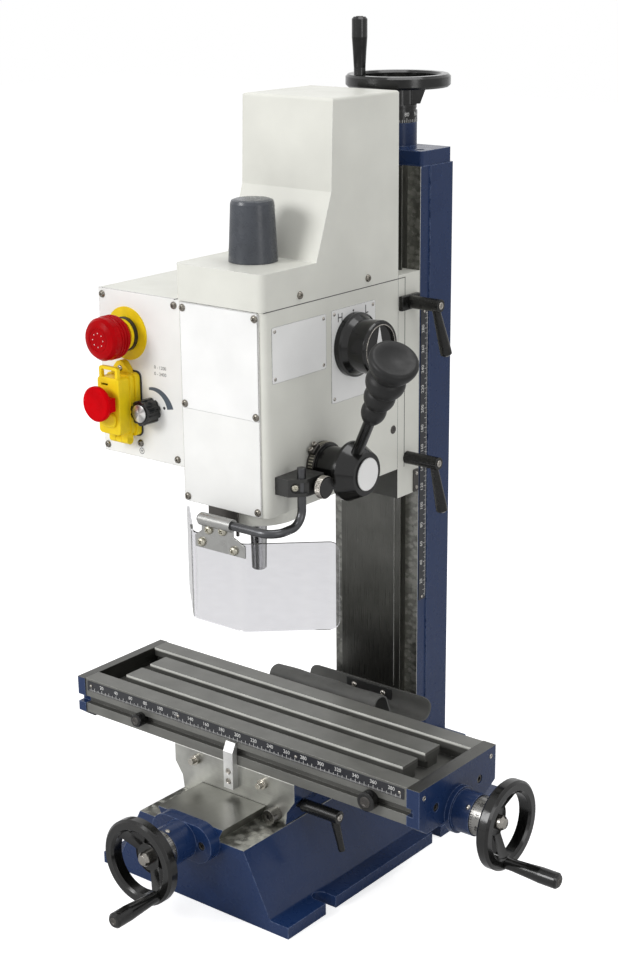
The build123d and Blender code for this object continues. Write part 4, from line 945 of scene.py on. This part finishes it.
def cap_screws():
    """Cap and grub screws of plates, brackets, levers and head."""
    face = span("end_plate_right")[0].x + 13.8
    ends = ((face - BOLT_SINK, X), (span("end_plate_left")[0].x + BOLT_SINK, -X))
    front, side = span("saddle_pointer")[0].y, span("head_casting")[1].x
    for name, body, look, size, spots in (
            ("end_plate_bolts", "table", black_steel, BOLT,
             [((x, y, 129.5), way) for y in (-19.4, 50.6) for x, way in ends]),
            ("end_plate_grubs", "table", nickel, (2.4, 0.6),
             [((face, y, 145.8), X) for y in (-38.2, 68.4)]),
            ("bracket_bolts", "frame", black_steel, BOLT,
             [((mirror * x, y, z), way) for mirror in (-1, 1) for (x, y, z), way in BRACKET_BOLTS]),
            ("pointer_screws", "saddle", nickel, (3.0, 0.5),
             [((0.2, front, z), -Y) for z in (101.8, 112.0)]),
            *((body + "_screw", body, nickel, LEVER_SCREW, [(pivot(body + "_turn") + reach * X, X)])
              for body, reach in LEVER_REACH.items()),
            ("side_plug", "head", black_steel, (4.2, 0.6), [((side, 141.0, 414.4), X)])):
        heads(name, body, look, Form.socket_screw, size, spots)


def pan_screws():
    """Screws of guard and switch, and of the panels in place of plain solids."""
    heads("bracket_screws", "guard", gold, Form.pan_screw, (4.4, 3.4),
          [((x, GUARD_PLATE_Y, z), -Y) for x, z in GUARD_SCREWS])
    low, high = span("guard_block")
    corner = Vector((high.x - BLOCK_CHAMFER, low.y, (low.z + high.z) / 2))
    out = (X - Y).normalized()
    spot = corner + BLOCK_SCREW * (X + Y).normalized() - BLOCK_SLOT * out
    heads("block_screw", "head", gold, Form.pan_screw, (3.4, 1.8), [(spot, out)])
    heads("switch_screw", "head", nickel, Form.pan_screw, (3.0, 1.4), [((-145.5, -27.0, 479.6), -Y)])
    spots = [((x, span(node)[0].y, z), -Y) for node, places in PANEL_SCREWS.items() for x, z in places]
    for corner, way in zip(span("head_cover"), (-X, X)):
        spots += [((corner.x, y, z), way) for y, z in COVER_SCREWS]
    piece = heads("panel_screws", "head", dull_nickel, Form.pan_screw, PANEL_SCREW, spots)
    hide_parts("head_screws")


KNURL_CUTS, KNURL_DEEP = 36, 0.05
KNURL_WIDE, KNURL_BACK, KNURL_EASE, KNURL_INNER = 6.4, 0.6, 0.4, 0.9


def knurl(angle):
    """Reach of a finely cut rim at an angle."""
    return 1 + KNURL_DEEP * (1 - abs(2 * (angle * KNURL_CUTS / TURN % 1) - 1))


def knob_rim():
    """Knurled rim of the guard's clamp knob."""
    low, high = span("guard_knob")
    radius = (high.z - low.z) / 2
    inner = KNURL_INNER * radius
    middle = face_middle("guard_knob", X) - (KNURL_WIDE + KNURL_BACK) * X
    rim = [(inner, 0), (radius, KNURL_EASE, knurl), (radius, KNURL_WIDE - KNURL_EASE, knurl),
           (inner, KNURL_WIDE), (inner, 0)]
    Form().lathe(middle, X, rim, 2 * KNURL_CUTS).done("knob_rim", "guard_clamp", nickel)


STOP_SHARE, STOP_TALL = 0.31, 0.6
CRANK_SCREW = (3.6, 0.5)


def end_screws():
    """Sockets of the table's stops, and end screws of the cranks."""
    for side in ("left", "right"):
        low, high = span("stop_" + side)
        heads(side + "_stop_socket", side + "_stop", black_steel, Form.socket_screw,
              (STOP_SHARE * (high.z - low.z), STOP_TALL), [(face_middle("stop_" + side, -Y), -Y)])
    for axis, way in HAND_WAYS.items():
        heads(axis + "_crank_screw", axis + "_handle", black_steel, Form.socket_screw, CRANK_SCREW,
              [(face_middle(axis + "_crank", way), way)])


STOP_BLOCK, STOP_BLOCK_Z, POINTER_THICK = (4.6, 29.0, 14.0), 536.0, 1.2
# Middle and size of the two bars that stop the guard
GUARD_STOP = (((-4.0, -44.0, 368.0), (34.0, 3.0, 10.0)), ((13.8, -45.0, 361.0), (2.4, 2.4, 24.0)))


def small_blocks():
    """Stop block and pointer of the carriage, and stop plate of the guard."""
    side = span("carriage")[1].x
    out = side + STOP_BLOCK[0]
    stop = Form().block(((side + out) / 2, 163.5, STOP_BLOCK_Z), STOP_BLOCK)
    stop.done("carriage_stop", "carriage", lever_black, bevel=0.8)
    screws = Form().socket_screw((out, 169.0, STOP_BLOCK_Z), X, 3.2, 1.0)
    for screw_z in (361.8, 347.5):
        screws.pan_screw((side + POINTER_THICK, 178.4, screw_z), X, 2.0, 1.2)
    screws.done("carriage_screws", "carriage", nickel)
    pointer = Form().plate(rounded(8.6, 23.0, 1.2), (side, 178.3, 354.6), Y, Z, POINTER_THICK)
    pointer.done("carriage_pointer", "carriage", black_steel, bevel=0.2)
    plate = Form()
    for middle, size in GUARD_STOP:
        plate.block(middle, size)
    plate.done("guard_stop", "head", black_steel, bevel=0.4)


# Switch and stop button

GASKET_Z, GASKET_LIP = 446.0, 2.4
STOP_DOTS, STOP_DOTS_R = 8, 6.6
STOP_RIBS, RIB_FOOT, RIB_CREST = (20.0, 16.5, 13.0), 0.4, 0.7
STOP_COLLAR, COLLAR_OUT = [(15.0, 0), (16.4, 0), (16.4, 3.0), (15.0, 3.4), (15.0, 0)], 2.4


def switch_details():
    """Gasket of the switch and hump of its flap."""
    low, high = span("switch_base")
    middle = face_middle("switch_base", Y)
    middle.z = GASKET_Z
    gasket = Form().plate(rounded(high.x - low.x + GASKET_LIP, 64.0, 6.0), middle, X, Z, 1.4)
    gasket.done("switch_gasket", "head", finish["dark_plastic"], bevel=0.3)
    hump = Form().plate(rounded(20.0, 14.0, 6.0), (-142.5, span("switch_flap")[0].y, 433.6), X, Z, 2.4)
    hump.done("flap_hump", "flap", finish["yellow_plastic"], bevel=1.6)


def stop_details():
    """Dots, ribs, groove and collar of the stop button."""
    low, high = span("estop_button")
    middle = face_middle("estop_button", -Y)
    heads("stop_dots", "estop", white_ink, Form.dome, (0.6, INK),
          [(middle + STOP_DOTS_R * out, -Y) for out in directions(X, Z, STOP_DOTS)])
    reach = (high.x - low.x) / 2
    foot, crest = reach - RIB_FOOT, reach + RIB_CREST
    ribs = Form()
    for back in STOP_RIBS:
        ribs.lathe(middle + back * Y, -Y, [(foot, 0), (crest, 0.4), (crest, 1.2), (foot, 1.6), (foot, 0)])
    ribs.done("stop_ribs", "estop", stop_red)
    Form().lathe(middle, -Y, band(10.6, 11.2, 0.25)).done("stop_ring", "estop", stop_red)
    seat = (middle.x, span("control_panel")[0].y - COLLAR_OUT, middle.z)
    Form().lathe(seat, -Y, STOP_COLLAR).done("stop_collar", "head", finish["dark_plastic"])


# Feed lever

LEVER_ROOT_X = 86.0
LEVER_WAY = Vector((0.532, -0.284, 0.798)).normalized()
ROD_R, ROD_START, ROD_IN_GRIP, GRIP_START, GRIP_SIDES = 5.2, 12.0, 4.0, 74.5, 56
GRIP_COLLAR = ((7.6, 0.0), (8.3, 0.6), (8.4, 1.8))
GRIP_FOLDS = ((11.2, 8.8, 19.2), (13.9, 11.0, 38.2), (17.6, 13.6, 58.4))
GRIP_CAP = ((15.6, 61.0), (18.2, 65.2), (20.4, 69.6), (21.7, 73.6), (22.0, 76.4), (21.5, 78.8), (20.0, 80.4),
            (17.8, 80.8), (13.0, 79.2), (7.0, 77.7), (0.0, 77.0))
FOLD_STEPS, FOLD_SHARP = 12, 0.62


def grip_steps():
    """Radius and height along the grip: folds, grooves and a dished cap."""
    steps = list(GRIP_COLLAR)
    for radius, groove, top in GRIP_FOLDS:
        root, foot = steps[-1]
        for step in range(1, FOLD_STEPS + 1):
            share = step / FOLD_STEPS
            swell = max(sin(pi * share), 0) ** FOLD_SHARP
            steps.append((root + (groove - root) * share + (radius - (root + groove) / 2) * swell,
                          foot + (top - foot) * share))
    return steps + list(GRIP_CAP)


def feed_lever():
    """Black rod with a grip of stacked rubber folds."""
    root = on_axis("feed_turn", LEVER_ROOT_X)
    rod = Form().lathe(root, LEVER_WAY, [(ROD_R, ROD_START), (ROD_R, GRIP_START + ROD_IN_GRIP)], SCREW_SIDES)
    rod.done("feed_rod", "feed", finish["black_gloss"])
    grip = Form().lathe(root + GRIP_START * LEVER_WAY, LEVER_WAY, grip_steps(), GRIP_SIDES)
    piece = grip.done("feed_grip", "feed", finish["grip_rubber"], smooth=50)
    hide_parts("feed_lever")


# Way apron

APRON_THICK = 1.6
APRON_HALF, APRON_FLAP_HALF = 67.0, 78.0
APRON_ROUND, APRON_FLAP, APRON_TAPER = 9.0, 24.0, 30.0
APRON_PATH = [Vector((0, y, z)) for y, z in ((173.1, 127.6), (172.6, 116.0), (166.0, 109.6), (146.0, 112.0),
                                             (125.0, 117.0), (116.5, 134.0), (110.0, 149.0), (101.5, 152.6),
                                             (93.0, 149.0), (88.5, 132.0), (84.5, 118.0), (77.4, 112.4))]
APRON_STEPS, APRON_COLUMNS = 6, 28
APRON_WAVE, WAVE_LONG, WAVE_SHIFT, WAVE_SHORT = 0.9, 3.1, 0.7, 5.3
APRON_CURL, CURL_FROM, CURL_RUN = 36.0, 0.72, 20.0


def apron_row(spot, run, slack):
    """Points across the apron at a run along its path, waved where slack."""
    taper = min(max((run - APRON_FLAP) / APRON_TAPER, 0.0), 1.0)
    half = APRON_FLAP_HALF + (APRON_HALF - APRON_FLAP_HALF) * taper * taper * (3 - 2 * taper)
    if run < APRON_ROUND:
        half -= APRON_ROUND - sqrt(APRON_ROUND ** 2 - (APRON_ROUND - run) ** 2)
    row = []
    for column in range(APRON_COLUMNS + 1):
        across = -1 + 2 * column / APRON_COLUMNS
        lift = APRON_WAVE * slack * sin(WAVE_LONG * across + WAVE_SHIFT) * cos(WAVE_SHORT * across)
        curl = APRON_CURL * max(abs(across) - CURL_FROM, 0) ** 2 * (1 - taper) * min(run / CURL_RUN, 1)
        row.append(spot + Vector((across * half, -curl, lift)))
    return row


def apron():
    """One rubber sheet from column to saddle, folded up once."""
    line = smooth_line(APRON_PATH, APRON_STEPS)
    lengths = [0.0]
    for before, after in zip(line, line[1:]):
        lengths.append(lengths[-1] + (after - before).length)
    rows = [apron_row(spot, run, sin(pi * min(run / lengths[-1], 1.0)) ** 2)
            for spot, run in zip(line, lengths)]
    piece = Form().sheet(rows, APRON_THICK).done("apron_sheet", None, finish["apron_rubber"], smooth=60)
    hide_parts("way_apron")
    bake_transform(piece)


def apron_strip():
    """Black strip and two screws that hold the apron to the column."""
    strip = Form().block((0, 171.6, 119.4), (58.0, 1.4, 13.0))
    strip.done("apron_strip", "frame", finish["dark_plastic"], bevel=0.3)
    heads("apron_screws", "frame", nickel, Form.pan_screw, (3.4, 2.2),
          [((x, 170.9, 119.6), -Y) for x in (-18.6, 18.6)])


# Studio

def surround():
    """A surround that looks white everywhere but is dim as a light."""
    world = bpy.data.worlds.new("surround")
    scene.world = world
    world.use_nodes = True
    nodes, link = world.node_tree.nodes, world.node_tree.links.new
    path = nodes.new("ShaderNodeLightPath").outputs
    seen = path["Is Camera Ray"]
    for kind in ("Is Glossy Ray", "Is Transmission Ray"):
        either = nodes.new("ShaderNodeMath")
        either.operation = "MAXIMUM"
        link(seen, either.inputs[0])
        link(path[kind], either.inputs[1])
        seen = either.outputs[0]
    strength = nodes.new("ShaderNodeMapRange")
    strength.inputs["To Min"].default_value = AMBIENT
    link(seen, strength.inputs["Value"])
    sky = nodes["Background"]
    sky.inputs["Color"].default_value = (1, 1, 1, 1)
    link(strength.outputs[0], sky.inputs["Strength"])


def floor():
    """A pale floor that keeps the shadow and ends in white."""
    f = Finish("floor", Specular_IOR_Level=0.0, Roughness=0.9, Emission_Color=(1, 1, 1))
    seen = f.add("LightPath").outputs["Is Camera Ray"]
    f.set(Base_Color=f.mix(f.clouds(20, 3), (0.86, 0.86, 0.86), (0.90, 0.90, 0.90)),
          Emission_Strength=f.math("MULTIPLY", seen, FLOOR_GLOW))
    slab = Form().block(-(FLOOR_DROP + FLOOR_THICK / 2) * Z, (FLOOR_SIZE, FLOOR_SIZE, FLOOR_THICK))
    slab.done("floor", None, f)


def lamps():
    """Large soft lamps at a plain level."""
    for name, (at, size, power) in LAMPS.items():
        data = bpy.data.lights.new(name, "AREA")
        data.shape = "DISK"
        data.size = size * MM
        data.energy = power
        lamp = put(name, data)
        lamp.location = Vector(at) * MM
        lamp.rotation_euler = (LAMP_AIM - Vector(at)).to_track_quat("-Z", "Y").to_euler()


def camera():
    """The photograph's camera."""
    data = bpy.data.cameras.new("camera")
    data.lens = FOCAL_PIXELS * data.sensor_width / max(IMAGE)
    data.shift_x = (IMAGE[0] / 2 - PRINCIPAL[0]) / max(IMAGE)
    data.shift_y = (PRINCIPAL[1] - IMAGE[1] / 2) / max(IMAGE)
    pose = Matrix.Translation(CAMERA_AT * MM)
    for angle, axis in ((AZIMUTH, "Z"), (TURN / 4 - ELEVATION, "X"), (ROLL, "Z")):
        pose = pose @ Matrix.Rotation(angle, 4, axis)
    scene.camera = put("camera", data)
    scene.camera.matrix_world = pose


for build in (dress_nodes, scales, head_plates, control_prints, knob_faces, feed_ring, seams, cap_screws,
              pan_screws, knob_rim, end_screws, small_blocks, switch_details, stop_details,
              feed_lever, apron, apron_strip, surround, floor, lamps, camera):
    build()
scene.view_settings.view_transform = "Standard"
